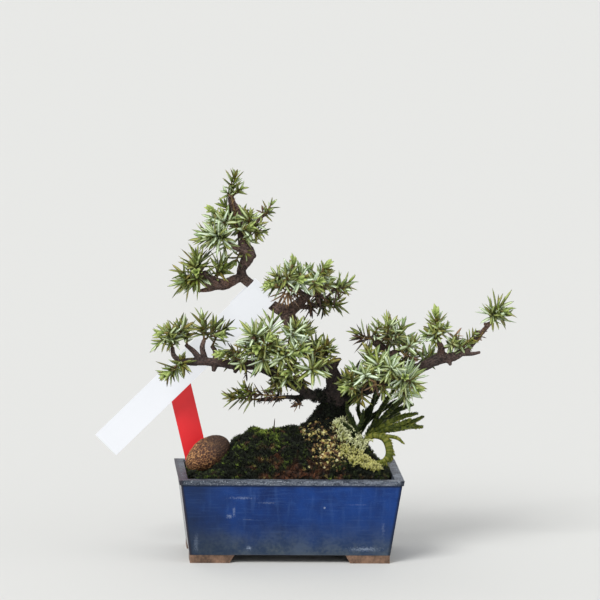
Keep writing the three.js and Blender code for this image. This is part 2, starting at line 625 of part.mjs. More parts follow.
const SPRAYS = {
  spray_apex_top: { root: [-37, 1, 219], tips: [[-35, 0, 231, 9, 4]] },
  spray_apex_twig: { root: [-17, 2, 208], tips: [[-13, 2, 214, 8, 3]] },
  spray_apex_front: { root: [-41, -13, 194], tips: [[-48, -22, 199, 13, 3], [-53, -15, 197, 11, 3]] },
  spray_apex_high: { root: [-31, -4, 199], tips: [[-41, -10, 209, 12, 4]] },
  spray_apex_right: { root: [-26, -3, 200], tips: [[-27, -13, 209, 11, 3], [-22, -11, 198, 9, 3]] },
  spray_apex_rear: { root: [-32, -2, 203], tips: [[-41, 6, 213, 10, 3], [-29, 9, 207, 10, 3]] },
  spray_hook_end: { root: [-54, -6, 173], tips: [[-65, -10, 169, 12, 3], [-58, -8, 182, 12, 3]] },
  spray_hook_inner: { root: [-46, -4, 168], tips: [[-43, -4, 179, 10, 3]] },
  spray_pad_left: { root: [-4, -13, 169], tips: [[-13, -16, 168, 11, 3], [-3, -23, 174, 11, 3]] },
  spray_pad_bud: { root: [3, -9, 164], tips: [[0, -9, 178, 10, 3], [6, -17, 172, 11, 3]] },
  spray_pad_top: {
    root: [14, -8, 165],
    tips: [[10, -4, 176, 11, 3], [20, -10, 178, 11, 3], [13, -20, 170, 10, 2]],
  },
  spray_pad_end: { root: [26, -7, 164], tips: [[34, -9, 169, 10, 3]] },
  spray_pad_low: { root: [22, 8, 154], tips: [[30, 6, 152, 10, 3]] },
  spray_pad_rear: { root: [16, 13, 166], tips: [[20, 23, 170, 11, 3]] },
  spray_left_tip: { root: [-72, -11, 128], tips: [[-73, -12, 139, 10, 4]] },
  spray_left_second: { root: [-63, -7, 130], tips: [[-65, -6, 140, 10, 3]] },
  spray_left_third: { root: [-53, -14, 133], tips: [[-54, -16, 146, 12, 4]] },
  spray_left_inner: { root: [-48, -5, 128], tips: [[-44, -9, 138, 11, 3]] },
  spray_left_low: { root: [-65, -12, 121], tips: [[-74, -16, 115, 11, 3]] },
  spray_left_rear: { root: [-34, -9, 118], tips: [[-36, 3, 124, 11, 3]] },
  spray_mid_brush: { root: [-24, -10, 118], tips: [[-40, -18, 126, 10, 5]] },
  spray_mid_star: { root: [-18, -18, 125], tips: [[-24, -27, 139, 13, 4], [-13, -31, 135, 12, 3]] },
  spray_mid_top: { root: [5, -1, 135], tips: [[1, -20, 142, 12, 4]] },
  spray_mid_centre: { root: [-3, -24, 130], tips: [[-8, -35, 125, 12, 3], [5, -35, 131, 9, 3]] },
  spray_mid_right: { root: [13, -19, 118], tips: [[11, -33, 119, 14, 4]] },
  spray_mid_dark: { root: [20, -1, 118], tips: [[20, -14, 130, 11, 3]] },
  spray_mid_low: { root: [-2, -9, 108], tips: [[-4, -24, 113, 10, 3], [-12, -14, 103, 9, 3]] },
  spray_mid_rear: { root: [9, -1, 130], tips: [[8, 15, 134, 12, 4]] },
  spray_low: { root: [-19, -17, 98], tips: [[-36, -21, 100, 10, 5]] },
  spray_trunk_rear: { root: [28, 2, 101], tips: [[38, 19, 104, 11, 3]] },
  spray_right_left: { root: [52, 4, 131], tips: [[42, 0, 136, 12, 3], [53, -5, 141, 11, 3]] },
  spray_right_top: { root: [59, 8, 125], tips: [[62, 5, 141, 11, 4], [68, 19, 129, 11, 3]] },
  spray_right_white: { root: [69, 3, 126], tips: [[75, -2, 131, 9, 3]] },
  spray_right_shoot: { root: [48, -8, 107], tips: [[47, -9, 123, 10, 4], [46, -19, 112, 11, 3]] },
  spray_right_inner: { root: [37, -6, 104], tips: [[35, -16, 110, 11, 3]] },
  spray_right_star: { root: [59, -13, 110], tips: [[60, -25, 119, 12, 3], [73, -27, 110, 14, 4]] },
  spray_right_fork: { root: [90, 0, 131], tips: [[88, -2, 144, 10, 3], [83, -4, 136, 9, 3]] },
  spray_right_small: { root: [106, 2, 125], tips: [[101, 0, 132, 8, 2], [112, 0, 136, 7, 3]] },
  spray_right_end: { root: [121, 3, 142], tips: [[128, 2, 152, 14, 5]] },
  spray_right_rear: { root: [69, 13, 114], tips: [[73, 22, 119, 12, 3]] },
  spray_branch_rear: { root: [82, 3, 116], tips: [[86, 15, 122, 11, 3]] },
};
const SPREAD_LOW = THREE.MathUtils.degToRad(70); // needle to shoot, at the shoot's foot
const SPREAD_HIGH = THREE.MathUtils.degToRad(32); // and at its tip
const SIXTH = Math.PI / 3; // turn between one whorl and the next
const FORK_SHARE = 0.3; // how far up the first shoot a side shoot leaves it
const BARE_SHARE = 0.38; // the needles start this far up the shoot
const TOP_SHARE = 0.93; // and end here

// The straight stretches of a spray's core: one from the wood to the first tip, and
// a side shoot from it to each further tip
function coresOf({ root, tips }) {
  const start = new THREE.Vector3(...root);
  const ends = tips.map(([x, y, z]) => new THREE.Vector3(x, y, z));
  const fork = start.clone().lerp(ends[0], FORK_SHARE);
  return ends.map((end, k) => ({ from: k === 0 ? start : fork, to: end }));
}

// A six-sided rod with a pointed end, one of its faces looking along side
function core(from, to, side) {
  const axis = to.clone().sub(from);
  const length = axis.length();
  axis.normalize();
  const geometry = new THREE.CylinderGeometry(CORE_TIP_RADIUS, CORE_RADIUS, length, 6);
  geometry.translate(0, length / 2, 0);
  const bud = new THREE.ConeGeometry(CORE_TIP_RADIUS, BUD_LENGTH, 6);
  bud.translate(0, length + BUD_LENGTH / 2 - BURIED, 0);
  const turn = new THREE.Matrix4().makeRotationY(SIXTH / 2);
  const across = new THREE.Vector3().crossVectors(axis, side);
  turn.premultiply(new THREE.Matrix4().makeBasis(across, axis, side)).setPosition(from);
  return solidOf(geometry.applyMatrix4(turn)).add(solidOf(bud.applyMatrix4(turn)));
}

function needle(from, direction, length, outward) {
  const geometry = new THREE.ConeGeometry(NEEDLE_RADIUS, length, 3);
  geometry.translate(0, length / 2, 0);
  const across = new THREE.Vector3().crossVectors(direction, outward).normalize();
  const face = new THREE.Vector3().crossVectors(across, direction);
  const turn = new THREE.Matrix4().makeBasis(across, direction, face).setPosition(from);
  return solidOf(geometry.applyMatrix4(turn));
}

// The first direction round the shoot that keeps the needle off every other piece
function freeNeedle(owner, from, axis, side, spread, length) {
  for (const reach of [1, 0.75]) {
    for (const closing of [1, 0.7, 0.5]) {
      for (const turn of [0, SIXTH, -SIXTH]) {
        const out = side.clone().applyAxisAngle(axis, turn);
        const direction = axis.clone().multiplyScalar(Math.cos(spread * closing));
        direction.addScaledVector(out, Math.sin(spread * closing));
        const tip = from.clone().addScaledVector(direction, length * reach);
        const bare = from.clone().addScaledVector(direction, CORE_RADIUS);
        if (isClear(owner, new THREE.Line3(bare, tip), NEEDLE_RADIUS)) {
          register(owner, bare, tip, NEEDLE_RADIUS);
          return needle(from, direction, length * reach, out);
        }
      }
    }
  }
  return null;
}

function sideOf({ from, to }, turn) {
  const axis = to.clone().sub(from).normalize();
  const level = Math.abs(axis.z) > 0.9 ? new THREE.Vector3(1, 0, 0) : new THREE.Vector3(0, 0, 1);
  return level.cross(axis).normalize().applyAxisAngle(axis, turn);
}

function spray(name, shape, seed) {
  const draw = drawFrom(seed);
  const cores = coresOf(shape).map((stretch) => ({ ...stretch, side: sideOf(stretch, draw() * SIXTH) }));
  const solids = cores.map(({ from, to, side }) => core(from, to, side));
  shape.tips.forEach(([, , , length, whorls], k) => {
    const { from, to, side } = cores[k];
    const axis = to.clone().sub(from).normalize();
    for (let row = 0; row < whorls; row++) {
      const share = THREE.MathUtils.lerp(BARE_SHARE, TOP_SHARE, row / (whorls - 1));
      const spread = THREE.MathUtils.lerp(SPREAD_LOW, SPREAD_HIGH, share);
      for (let k3 = 0; k3 < 3; k3++) {
        const out = side.clone().applyAxisAngle(axis, (k3 * 2 + row) * SIXTH);
        const root = from.clone().lerp(to, share - 0.03 * k3);
        const grown = freeNeedle(name, root, axis, out, spread, length * (0.85 + 0.2 * draw()));
        if (grown) solids.push(grown);
      }
    }
  });
  return largestBody(joined(solids).subtract(woodSpace));
}

for (const [name, shape] of Object.entries(SPRAYS)) {
  coresOf(shape).forEach(({ from, to }) => register(name, from, to, CORE_RADIUS));
}

// The whole tree

const mossSolid = moss();
const overMoss = mossSolid.translate(0, 0, GAP * SNUG);
const mossHoles = joined([woodSpace, frondSpace, redLabel(GAP), seedStone(GAP)]);
const lichenLimits = overMoss.add(mossHoles);

addPiece("pot", pot(), "glaze");
addPiece("drain_mesh_left", drainMesh(-DRAIN_SPACING), "meshPlastic");
addPiece("drain_mesh_right", drainMesh(DRAIN_SPACING), "meshPlastic");
addPiece("soil", soil(), "soil");
addPiece("moss", largestBody(mossSolid.subtract(mossHoles)), "moss");
const greySpace = lichen(GREY_LICHEN, 2 * GAP);
const yellowLichen = lichen(YELLOW_LICHEN, 0).subtract(lichenLimits).subtract(greySpace);
addPiece("lichen_grey", largestBody(lichen(GREY_LICHEN, 0).subtract(lichenLimits)), "greyLichen");
addPiece("lichen_yellow", largestBody(yellowLichen), "yellowLichen");
addPiece("seed_stone", seedStone(0), "shell");
addPiece("red_label", redLabel(0), "redPlastic");
addPiece("white_tag", whiteTag(), "whitePlastic");
addPiece("wood", joined([TRUNK, ...TWIGS].map((points) => woodLimb(points, 0))), "bark");
for (const [name, shape] of Object.entries(FRONDS)) addPiece(name, frond(shape, 0), "frond");
Object.entries(SPRAYS).forEach(([name, shape], k) => addPiece(name, spray(name, shape, 100 + k), "needle"));

const bounds = new THREE.Box3().setFromObject(group);
const middle = bounds.getCenter(new THREE.Vector3());
group.position.set(-middle.x, -middle.y, -bounds.min.z);

export default group;
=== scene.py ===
"""Needle juniper bonsai in a blue glazed pot: every surface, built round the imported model."""

import math
import random

import bmesh
import bpy
import numpy as np
from mathutils import Matrix, Vector, noise
from mathutils.bvhtree import BVHTree
from mathutils.kdtree import KDTree


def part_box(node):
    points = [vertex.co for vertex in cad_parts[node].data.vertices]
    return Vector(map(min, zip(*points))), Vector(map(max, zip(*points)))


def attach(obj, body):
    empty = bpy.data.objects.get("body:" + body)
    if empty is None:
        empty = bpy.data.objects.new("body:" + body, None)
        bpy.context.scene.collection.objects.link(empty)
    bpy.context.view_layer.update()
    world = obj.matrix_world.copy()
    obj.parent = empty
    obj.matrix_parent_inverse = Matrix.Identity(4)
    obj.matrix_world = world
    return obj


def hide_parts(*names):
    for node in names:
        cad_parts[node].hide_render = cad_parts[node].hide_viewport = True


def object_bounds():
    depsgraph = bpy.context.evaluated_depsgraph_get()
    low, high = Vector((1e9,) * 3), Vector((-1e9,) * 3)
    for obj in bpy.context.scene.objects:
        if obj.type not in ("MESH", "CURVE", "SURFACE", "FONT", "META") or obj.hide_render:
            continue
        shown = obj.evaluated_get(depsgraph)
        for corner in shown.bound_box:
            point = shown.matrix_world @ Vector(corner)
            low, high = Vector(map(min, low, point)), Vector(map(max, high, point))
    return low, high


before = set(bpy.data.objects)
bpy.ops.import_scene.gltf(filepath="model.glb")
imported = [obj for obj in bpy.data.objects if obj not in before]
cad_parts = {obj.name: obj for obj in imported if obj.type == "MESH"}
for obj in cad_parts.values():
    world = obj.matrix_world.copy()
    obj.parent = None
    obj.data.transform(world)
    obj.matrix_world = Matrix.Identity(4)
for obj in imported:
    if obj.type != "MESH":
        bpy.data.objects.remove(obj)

bl_info = {
    "name": "Needle Juniper Bonsai",
    "version": (1, 0, 0),
    "blender": (4, 5, 0),
    "location": "View3D > Sidebar > Bonsai",
    "description": "Grows a small needle juniper, its moss and its glazed pot",
    "category": "Add Mesh",
}

MM = 0.001
POT_LOW, POT_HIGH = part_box("pot")
POT_MIDDLE = Vector(((POT_LOW.x + POT_HIGH.x) / 2, (POT_LOW.y + POT_HIGH.y) / 2, 0))
CAD_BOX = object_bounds()


def at(x, y, z):
    """A place given in millimetres from the middle of the pot's underside."""
    return Vector((x * MM, y * MM, z * MM)) + POT_MIDDLE


# Lines of the wood, as x, y, z and radius in millimetres

TRUNK = [
    (26, 2, 38, 16), (26, 2, 47, 15), (26, 2, 57, 12.5), (27, 3, 67, 10.5), (28, 3, 77, 8.8),
    (27, 3, 89, 7.4), (28, 2, 99, 6.3), (28, 1, 105, 5.3), (26, 0, 111, 4.6), (21, -1, 117, 4.2),
    (13, -2, 125, 4.2), (6, -1, 134, 4.3), (0, 1, 143, 4.5), (-4, 3, 149, 4.4), (-9, 4, 151, 3.4),
    (-14, 4, 155, 3.2), (-20, 4, 161, 3.1), (-25, 4, 166, 3), (-29, 2, 170, 3), (-30, 0, 175, 2.8),
    (-27, -1, 181, 4.2), (-27, -2, 185, 4.8), (-29, -3, 189, 3.8), (-31, -4, 197, 2.5),
    (-32, -2, 203, 2.4), (-34, 0, 211, 2.5), (-37, 1, 217, 2.2), (-37, 1, 221, 1.6),
]
TWIGS = [
    [(-28, 3, 169, 2.6), (-33, 1, 169, 2.8), (-41, -2, 166, 3.3), (-46, -4, 167, 3.8), (-52, -5, 170, 3.8),
     (-54, -6, 174, 2.4)],
    [(-45, -3, 165, 2.4), (-51, -3, 163, 1.6), (-57, -3, 162, 0.8)],
    [(-28, -4, 187, 2.6), (-35, -9, 190, 2), (-42, -13, 194, 1.4)],
    [(-30, -4, 195, 1.9), (-25, -2, 201, 1.6), (-20, 1, 206, 1.4), (-16, 2, 209, 1.2)],
    [(-2, 2, 148, 4), (4, -1, 154, 3.4), (9, -5, 160, 2.7), (14, -8, 165, 2.1), (22, -8, 166, 1.7),
     (27, -7, 164, 1.2)],
    [(8, -4, 159, 2), (2, -10, 165, 1.6), (-5, -13, 169, 1.2)],
    [(4, -1, 153, 2), (12, 2, 152, 1.5), (18, 6, 153, 1.3), (23, 8, 154, 1.2)],
    [(9, -5, 160, 2), (13, 6, 164, 1.5), (16, 14, 166, 1.2)],
    [(28, 2, 96, 5), (20, -1, 98, 3.6), (13, -4, 99, 3.1), (6, -7, 104, 3.2), (-2, -9, 108, 3.3),
     (-10, -10, 113, 3.7), (-21, -10, 118, 3.5), (-32, -9, 118, 3), (-43, -9, 119, 2.6),
     (-53, -10, 120, 2.7), (-60, -11, 120, 2.4), (-67, -13, 121, 1.9), (-71, -13, 124, 1.6),
     (-72, -11, 129, 1.3)],
    [(-55, -10, 121, 2.2), (-59, -8, 126, 1.7), (-64, -7, 130, 1.3)],
    [(-52, -10, 121, 2), (-54, -12, 129, 1.7), (-53, -14, 134, 1.3)],
    [(-46, -9, 120, 1.7), (-46, -6, 126, 1.5), (-48, -5, 129, 1.3)],
    [(13, -4, 99, 2.4), (5, -8, 98, 1.7), (-3, -12, 99, 1.4), (-13, -15, 98, 1.3), (-20, -17, 98, 1.2)],
    [(7, -7, 98, 1.3), (5, -10, 95, 1.1), (2, -12, 93, 0.8)],
    [(17, -2, 121, 3), (10, -13, 127, 2.4), (2, -20, 128, 2), (-4, -24, 130, 1.5)],
    [(23, -1, 114, 2.8), (18, -13, 117, 1.9), (13, -20, 118, 1.4)],
    [(-15, -10, 115, 2.4), (-17, -15, 121, 1.8), (-18, -18, 126, 1.4)],
    [(28, 3, 94, 5.2), (37, 4, 97, 4.2), (46, 5, 101, 4), (54, 5, 104, 3.6), (64, 5, 109, 3.3),
     (74, 4, 113, 3.2), (82, 3, 116, 3.3), (91, 2, 121, 3.7), (99, 2, 122, 3), (107, 2, 126, 2.1),
     (112, 3, 131, 1.8), (117, 3, 137, 1.7), (122, 3, 143, 1.3)],
    [(91, 2, 121, 3), (92, 1, 127, 2.3), (90, 0, 132, 1.5)],
    [(57, 5, 105, 3.2), (60, 8, 115, 2.9), (60, 9, 122, 2.8), (56, 7, 127, 2.8), (51, 4, 131, 2.2)],
    [(60, 9, 121, 2.1), (66, 6, 125, 1.6), (70, 3, 126, 1.3)],
    [(50, 4, 102, 2.6), (53, -8, 107, 1.9), (59, -14, 111, 1.4)],
    [(44, 4, 100, 2.4), (46, -4, 105, 1.7), (48, -9, 108, 1.3)],
    [(38, 4, 97, 2.4), (38, -3, 102, 1.6), (37, -7, 105, 1.3)],
    [(65, 5, 109, 2.4), (69, 14, 114, 1.6)],
    [(104, 2, 124, 1.8), (111, 1, 124, 1.3), (116, 1, 125, 0.9)],
]
SPURS = [  # broken stubs and knots that only the bark shows
    [(24, 0, 112, 3.6), (28, -1, 119, 2.4), (31, -1, 121, 0.7)],
    [(30, 2, 101, 4), (36, 2, 104, 2), (39, 2, 105, 0.8)],
    [(-46, -9, 118, 2.2), (-47, -10, 114, 1.2)],
    [(-33, -9, 116, 2), (-34, -9, 113, 1)],
    [(70, 4, 110, 2.2), (71, 2, 106, 1)],
    [(96, 2, 121, 2.2), (98, 0, 117, 0.9)],
    [(-27, -1, 184, 3.6), (-24, -2, 184, 2.4), (-22, -3, 183, 1)],
    [(116, 3, 136, 1.6), (114, 1, 137, 1.5), (112.5, 0, 138, 0.9)],
    [(121, 3, 142, 1.4), (119, 1, 142, 1.3), (118, 0, 143, 0.8)],
]

# Sprays of needles: where each leaves the wood, and its tips with the length of their needles

SPRAYS = {
    "apex_top": ((-37, 1, 219), [(-35, 0, 231, 9)]),
    "apex_twig": ((-17, 2, 208), [(-13, 2, 214, 8)]),
    "apex_front": ((-41, -13, 194), [(-48, -22, 199, 13), (-53, -15, 197, 11)]),
    "apex_high": ((-31, -4, 199), [(-41, -10, 209, 8)]),
    "apex_right": ((-26, -3, 200), [(-27, -13, 209, 11), (-22, -11, 198, 9)]),
    "apex_rear": ((-32, -2, 203), [(-41, 6, 213, 8), (-29, 9, 207, 9)]),
    "hook_end": ((-54, -6, 173), [(-65, -10, 169, 14), (-58, -8, 182, 14)]),
    "hook_inner": ((-46, -4, 168), [(-43, -4, 179, 12)]),
    "pad_left": ((-4, -13, 169), [(-13, -16, 168, 9), (-3, -23, 174, 10)]),
    "pad_bud": ((3, -9, 164), [(0, -9, 178, 8), (6, -17, 172, 10)]),
    "pad_top": ((14, -8, 165), [(10, -4, 176, 8), (20, -10, 178, 8), (13, -20, 170, 9)]),
    "pad_end": ((26, -7, 164), [(34, -9, 169, 10)]),
    "pad_low": ((22, 8, 154), [(30, 6, 152, 10)]),
    "pad_rear": ((16, 13, 166), [(20, 23, 170, 9)]),
    "left_tip": ((-72, -11, 128), [(-73, -12, 139, 10)]),
    "left_second": ((-63, -7, 130), [(-65, -6, 140, 10)]),
    "left_third": ((-53, -14, 133), [(-54, -16, 146, 12)]),
    "left_inner": ((-48, -5, 128), [(-44, -9, 138, 11)]),
    "left_low": ((-65, -12, 121), [(-74, -16, 115, 11)]),
    "left_rear": ((-34, -9, 118), [(-36, 3, 124, 11)]),
    "mid_brush": ((-24, -10, 118), [(-40, -18, 126, 10)]),
    "mid_star": ((-18, -18, 125), [(-24, -27, 139, 13), (-13, -31, 135, 12)]),
    "mid_top": ((5, -1, 135), [(1, -20, 142, 12)]),
    "mid_centre": ((-3, -24, 130), [(-8, -35, 125, 12), (5, -35, 131, 9)]),
    "mid_right": ((13, -19, 118), [(11, -33, 119, 14)]),
    "mid_dark": ((20, -1, 118), [(20, -14, 130, 11)]),
    "mid_low": ((-2, -9, 108), [(-4, -24, 113, 10), (-12, -14, 103, 9)]),
    "mid_rear": ((9, -1, 130), [(8, 15, 134, 12)]),
    "low": ((-19, -17, 98), [(-36, -21, 100, 10)]),
    "trunk_rear": ((28, 2, 101), [(38, 19, 104, 11)]),
    "right_left": ((52, 4, 131), [(42, 0, 136, 11), (53, -5, 141, 9)]),
    "right_top": ((59, 8, 125), [(62, 5, 141, 10), (68, 19, 129, 9)]),
    "right_white": ((69, 3, 126), [(75, -2, 131, 9)]),
    "right_shoot": ((48, -8, 107), [(47, -9, 123, 10), (46, -19, 112, 11)]),
    "right_inner": ((37, -6, 104), [(35, -16, 110, 11)]),
    "right_star": ((59, -13, 110), [(60, -25, 119, 12), (73, -27, 110, 14)]),
    "right_fork": ((90, 0, 131), [(88, -2, 144, 10), (83, -4, 136, 9)]),
    "right_small": ((106, 2, 125), [(101, 0, 132, 8), (112, 0, 136, 7)]),
    "right_end": ((121, 3, 142), [(128, 2, 152, 14)]),
    "right_rear": ((69, 13, 114), [(73, 22, 119, 12)]),
    "branch_rear": ((82, 3, 116), [(86, 15, 122, 11)]),
}
FOLIAGE = {  # for each cloud of foliage: its sprays, its shade and how open it is
    "needles_apex": ("apex_", 0.6, 2.4),
    "needles_hook": ("hook_", 0.5, 1),
    "needles_pad": ("pad_", 0.56, 2.6),
    "needles_left": ("left_", 0.48, 2),
    "needles_middle": ("mid_", 0.6, 2.4),
    "needles_low": ("low trunk_", 0.32, 1),
    "needles_right": ("right_ branch_", 0.6, 1.9),
}
SLIM = (  # sprays without side shoots
    "apex_top", "apex_twig", "apex_high", "right_small", "left_third",
    "left_inner", "right_left", "right_top", "pad_left", "low",
    "right_star", "pad_top",
)

# Rosettes that stand on the sprays: the tip in millimetres, the way it faces, its length, the
# reach of its needles, their age and their shade

STARS = {
    "needles_apex": [
        (-46, -21, 198, -0.3, -0.9, 0.15, 10, 14, 0.5, 0.9),
        (-53, -14, 196, -0.9, -0.3, 0.1, 9, 12, 0.5, 0.6),
        (-29, -12, 201, 0.4, -0.8, 0.1, 9, 10, 0.5, 0.62),
        (-43, -15, 206, -0.4, -0.8, 0.3, 9, 11, 0.5, 0.85),
        (-48, -9, 207, -0.7, -0.5, 0.5, 9, 10, 0.5, 0.6), (-26, -8, 194, 0.8, -0.4, -0.1, 8, 9, 0.5, 0.6),
        (-28, -6, 186, 0.5, -0.5, -0.6, 7, 8, 0.5, 0.35),
        (-41, -14, 189, -0.1, -0.7, -0.6, 8, 10, 0.5, 0.8), (-37, 0, 228, 0, -0.3, 1, 10, 9, 0.5, 0.62),
        (-32, -2, 224, 0.6, -0.4, 0.6, 6, 8, 0.5, 0.55), (-40, -2, 222, -0.6, -0.4, 0.5, 6, 8, 0.5, 0.55),
        (-15, -2, 210, 0.5, -0.5, 0.3, 5, 7, 0.5, 0.3), (-18, 0, 211, -0.1, -0.5, 1, 4, 5, 1, 0.35),
        (-34, -8, 181, -0.3, -0.6, -0.6, 6, 8, 0.5, 0.3), (-37, -2, 219, -0.25, 0.1, 1, 14, 4.5, 1, 0.7),
    ],
    "needles_hook": [
        (-64, -10, 169, -0.9, -0.3, -0.1, 10, 13, 0.5, 0.62),
        (-57, -8, 180, -0.35, -0.4, 0.9, 10, 14, 0.5, 0.55),
        (-42, -5, 176, 0.55, -0.4, 0.7, 10, 12, 0.5, 0.32),
        (-67, -7, 174, -0.8, -0.2, 0.5, 8, 11, 0.5, 0.45),
    ],
    "needles_pad": [
        (-2, -14, 177, -0.1, -0.7, 0.7, 8, 9, 0.5, 0.85),
        (-10, -16, 174, -0.5, -0.6, 0.5, 9, 9, 0.5, 0.6), (-13, -18, 167, -0.9, -0.4, 0, 9, 9, 0.5, 0.6),
        (4, -22, 171, 0, -1, 0.1, 10, 11, 0.5, 0.95), (13, -22, 169, 0.2, -0.95, 0.1, 9, 9, 0.5, 0.7),
        (20, -12, 175, 0.4, -0.6, 0.7, 8, 9, 0.5, 0.6), (22, -14, 168, 0.6, -0.7, 0.2, 9, 9, 0.5, 0.8),
        (31, -9, 167, 0.9, -0.3, 0.1, 8, 9, 0.5, 0.8), (-3, -17, 162, -0.1, -0.6, -0.8, 8, 12, 1, 0.95),
        (3, -16, 161, 0.2, -0.7, -0.8, 6, 8, 1, 0.4), (28, -12, 163, 0.5, -0.6, -0.7, 7, 11, 1, 0.2),
        (12, -8, 152, 0.2, -0.5, -0.8, 9, 10, 1, 0.12), (24, 2, 155, 0.8, -0.3, -0.4, 9, 10, 0.5, 0.35),
        (19, 0, 152, 0.4, -0.5, -0.7, 8, 10, 0.5, 0.28), (16, -16, 162, 0.3, -0.8, -0.4, 7, 9, 1, 0.3),
    ],
    "needles_left": [
        (-75, -14, 137, -0.5, -0.7, 0.4, 9, 12, 0.5, 0.6),
        (-66, -13, 140, 0.3, -0.7, 0.6, 8, 11, 0.5, 0.55),
        (-80, -14, 132, -0.8, -0.3, -0.3, 8, 10, 0.5, 0.55),
        (-54, -14, 141, -0.4, -0.5, 0.7, 8, 12, 0.5, 0.35), (-47, -17, 142, 0.2, -0.7, 0.7, 9, 11, 0.5, 0.3),
        (-41, -12, 140, 0.7, -0.5, 0.4, 8, 11, 0.5, 0.42),
        (-71, -16, 115, -0.4, -0.7, -0.5, 8, 10, 0.5, 0.5),
        (-65, -14, 119, 0.2, -0.8, -0.4, 7, 9, 0.5, 0.42),
    ],
    "needles_middle": [
        (-24, -28, 139, -0.3, -0.8, 0.5, 11, 14, 0.5, 0.88),
        (-15, -28, 142, 0.2, -0.7, 0.7, 10, 14, 0.5, 0.75), (-0, -26, 140, 0.2, -0.8, 0.6, 11, 13, 0.5, 1),
        (-29, -22, 131, -0.8, -0.5, 0.3, 10, 9, 0.5, 0.5),
        (-37, -17, 128, -0.9, -0.2, 0.3, 9, 8, 0.5, 0.3),
        (-18, -28, 123, -0.1, -0.8, -0.5, 10, 13, 0.5, 0.8), (-9, -32, 130, 0, -1, 0, 10, 12, 0.5, 0.65),
        (5, -28, 133, 0.4, -0.8, 0.3, 9, 11, 0.5, 0.75), (15, -20, 129, 0.5, -0.5, 0.7, 9, 11, 0.5, 0.32),
        (21, -14, 131, 0.3, -0.3, 0.9, 8, 11, 0.5, 0.18), (-2, -28, 117, -0.3, -0.8, -0.5, 8, 10, 0.5, 0.3),
        (-9, -22, 111, -0.2, -0.6, -0.8, 8, 9, 0.5, 0.28), (-27, -11, 113, 0, -0.3, -1, 5, 7, 1, 0.15),
        (-24, -30, 138, -0.2, -1, 0.1, 3, 4, 1, 0.45), (22, -16, 121, 0.6, -0.6, 0.3, 8, 10, 0.5, 0.4),
        (6, -18, 141, 0.3, -0.4, 0.9, 8, 11, 0.5, 0.6),
        (-25, -25, 129, -0.4, -0.9, 0.2, 8, 8, 0.5, 0.5), (5, -16, 108, 0.1, -0.6, -0.8, 6, 8, 0.5, 0.25),
    ],
    "needles_low": [
        (-31, -21, 103, -1, -0.1, 0.1, 9, 9, 0.5, 0.3), (-22, -21, 102, -1, -0.1, 0.05, 12, 8.5, 1, 0.15),
        (-13, -20, 100, -1, -0.1, 0, 9, 7, 1, 0.3), (-28, -22, 106, -0.6, -0.2, 0.7, 6, 8, 0.5, 0.2),
        (3, -12, 94, -1, -0.3, -0.2, 4, 6, 1, 0.7),
    ],
    "needles_right": [
        (127, -1, 153, 0.5, -0.5, 0.6, 9, 14, 0.5, 0.68), (122, -1, 149, -0.2, -0.7, 0.5, 7, 12, 0.5, 0.55),
        (130, 0, 148, 0.8, -0.4, 0.1, 6, 10, 0.5, 0.6), (118, 0, 139, 0.5, -0.2, 0.9, 9, 3.5, 1, 0.5),
        (89, -3, 145, 0, -0.4, 0.9, 8, 9, 0.5, 0.62), (87, -6, 137, -0.4, -0.7, 0.3, 7, 9, 0.5, 0.6),
        (94, -4, 140, 0.4, -0.5, 0.5, 7, 8, 0.5, 0.6), (98, -4, 131, 0.2, -0.8, 0.4, 6, 8, 0.5, 0.62),
        (101, -2, 137, 0.4, -0.3, 0.8, 5, 8, 1, 0.9), (109, -1, 132, 0.6, -0.5, 0.5, 5, 6, 0.5, 0.6),
        (104, -2, 129, 0.3, -0.8, 0.2, 5, 7, 0.5, 0.6),
        (59, -6, 142, 0.1, -0.6, 0.8, 9, 12, 0.5, 0.5), (66, -8, 137, 0.6, -0.6, 0.4, 9, 10, 0.5, 0.55),
        (43, -2, 134, -0.9, -0.2, 0.1, 8, 12, 1, 0.15), (72, -12, 131, 0.2, -0.9, 0.3, 8, 9, 0.5, 0.9),
        (75, -8, 122, 0.8, -0.3, -0.4, 9, 4, 1, 0.6), (44, -24, 115, -0.2, -0.9, 0.3, 9, 11, 0.5, 0.85),
        (52, -22, 121, 0, -0.8, 0.6, 9, 12, 0.5, 0.7), (60, -26, 119, 0.1, -0.9, 0.3, 10, 12, 0.5, 0.95),
        (71, -30, 112, 0.5, -0.85, 0, 11, 15, 0.5, 0.9), (68, -24, 102, 0.2, -0.8, -0.6, 9, 13, 0.5, 0.8),
        (56, -22, 105, 0, -0.8, -0.6, 8, 10, 0.5, 0.3),
        (37, -15, 106, -0.3, -0.9, 0, 7, 8, 0.5, 0.5), (36, -18, 112, -0.2, -0.5, 0.8, 8, 10, 0.5, 0.42),
        (43, -18, 98, 0, -0.5, -0.9, 7, 9, 0.5, 0.15),
        (50, -27, 108, 0, -0.7, -0.7, 4, 10, 1, 0.6), (47, -8, 126, -0.4, -0.7, 0.4, 8, 10, 0.5, 0.45),
        (37, -14, 104, -0.2, -0.8, -0.2, 4, 4, 1, 0.5),
    ],
}
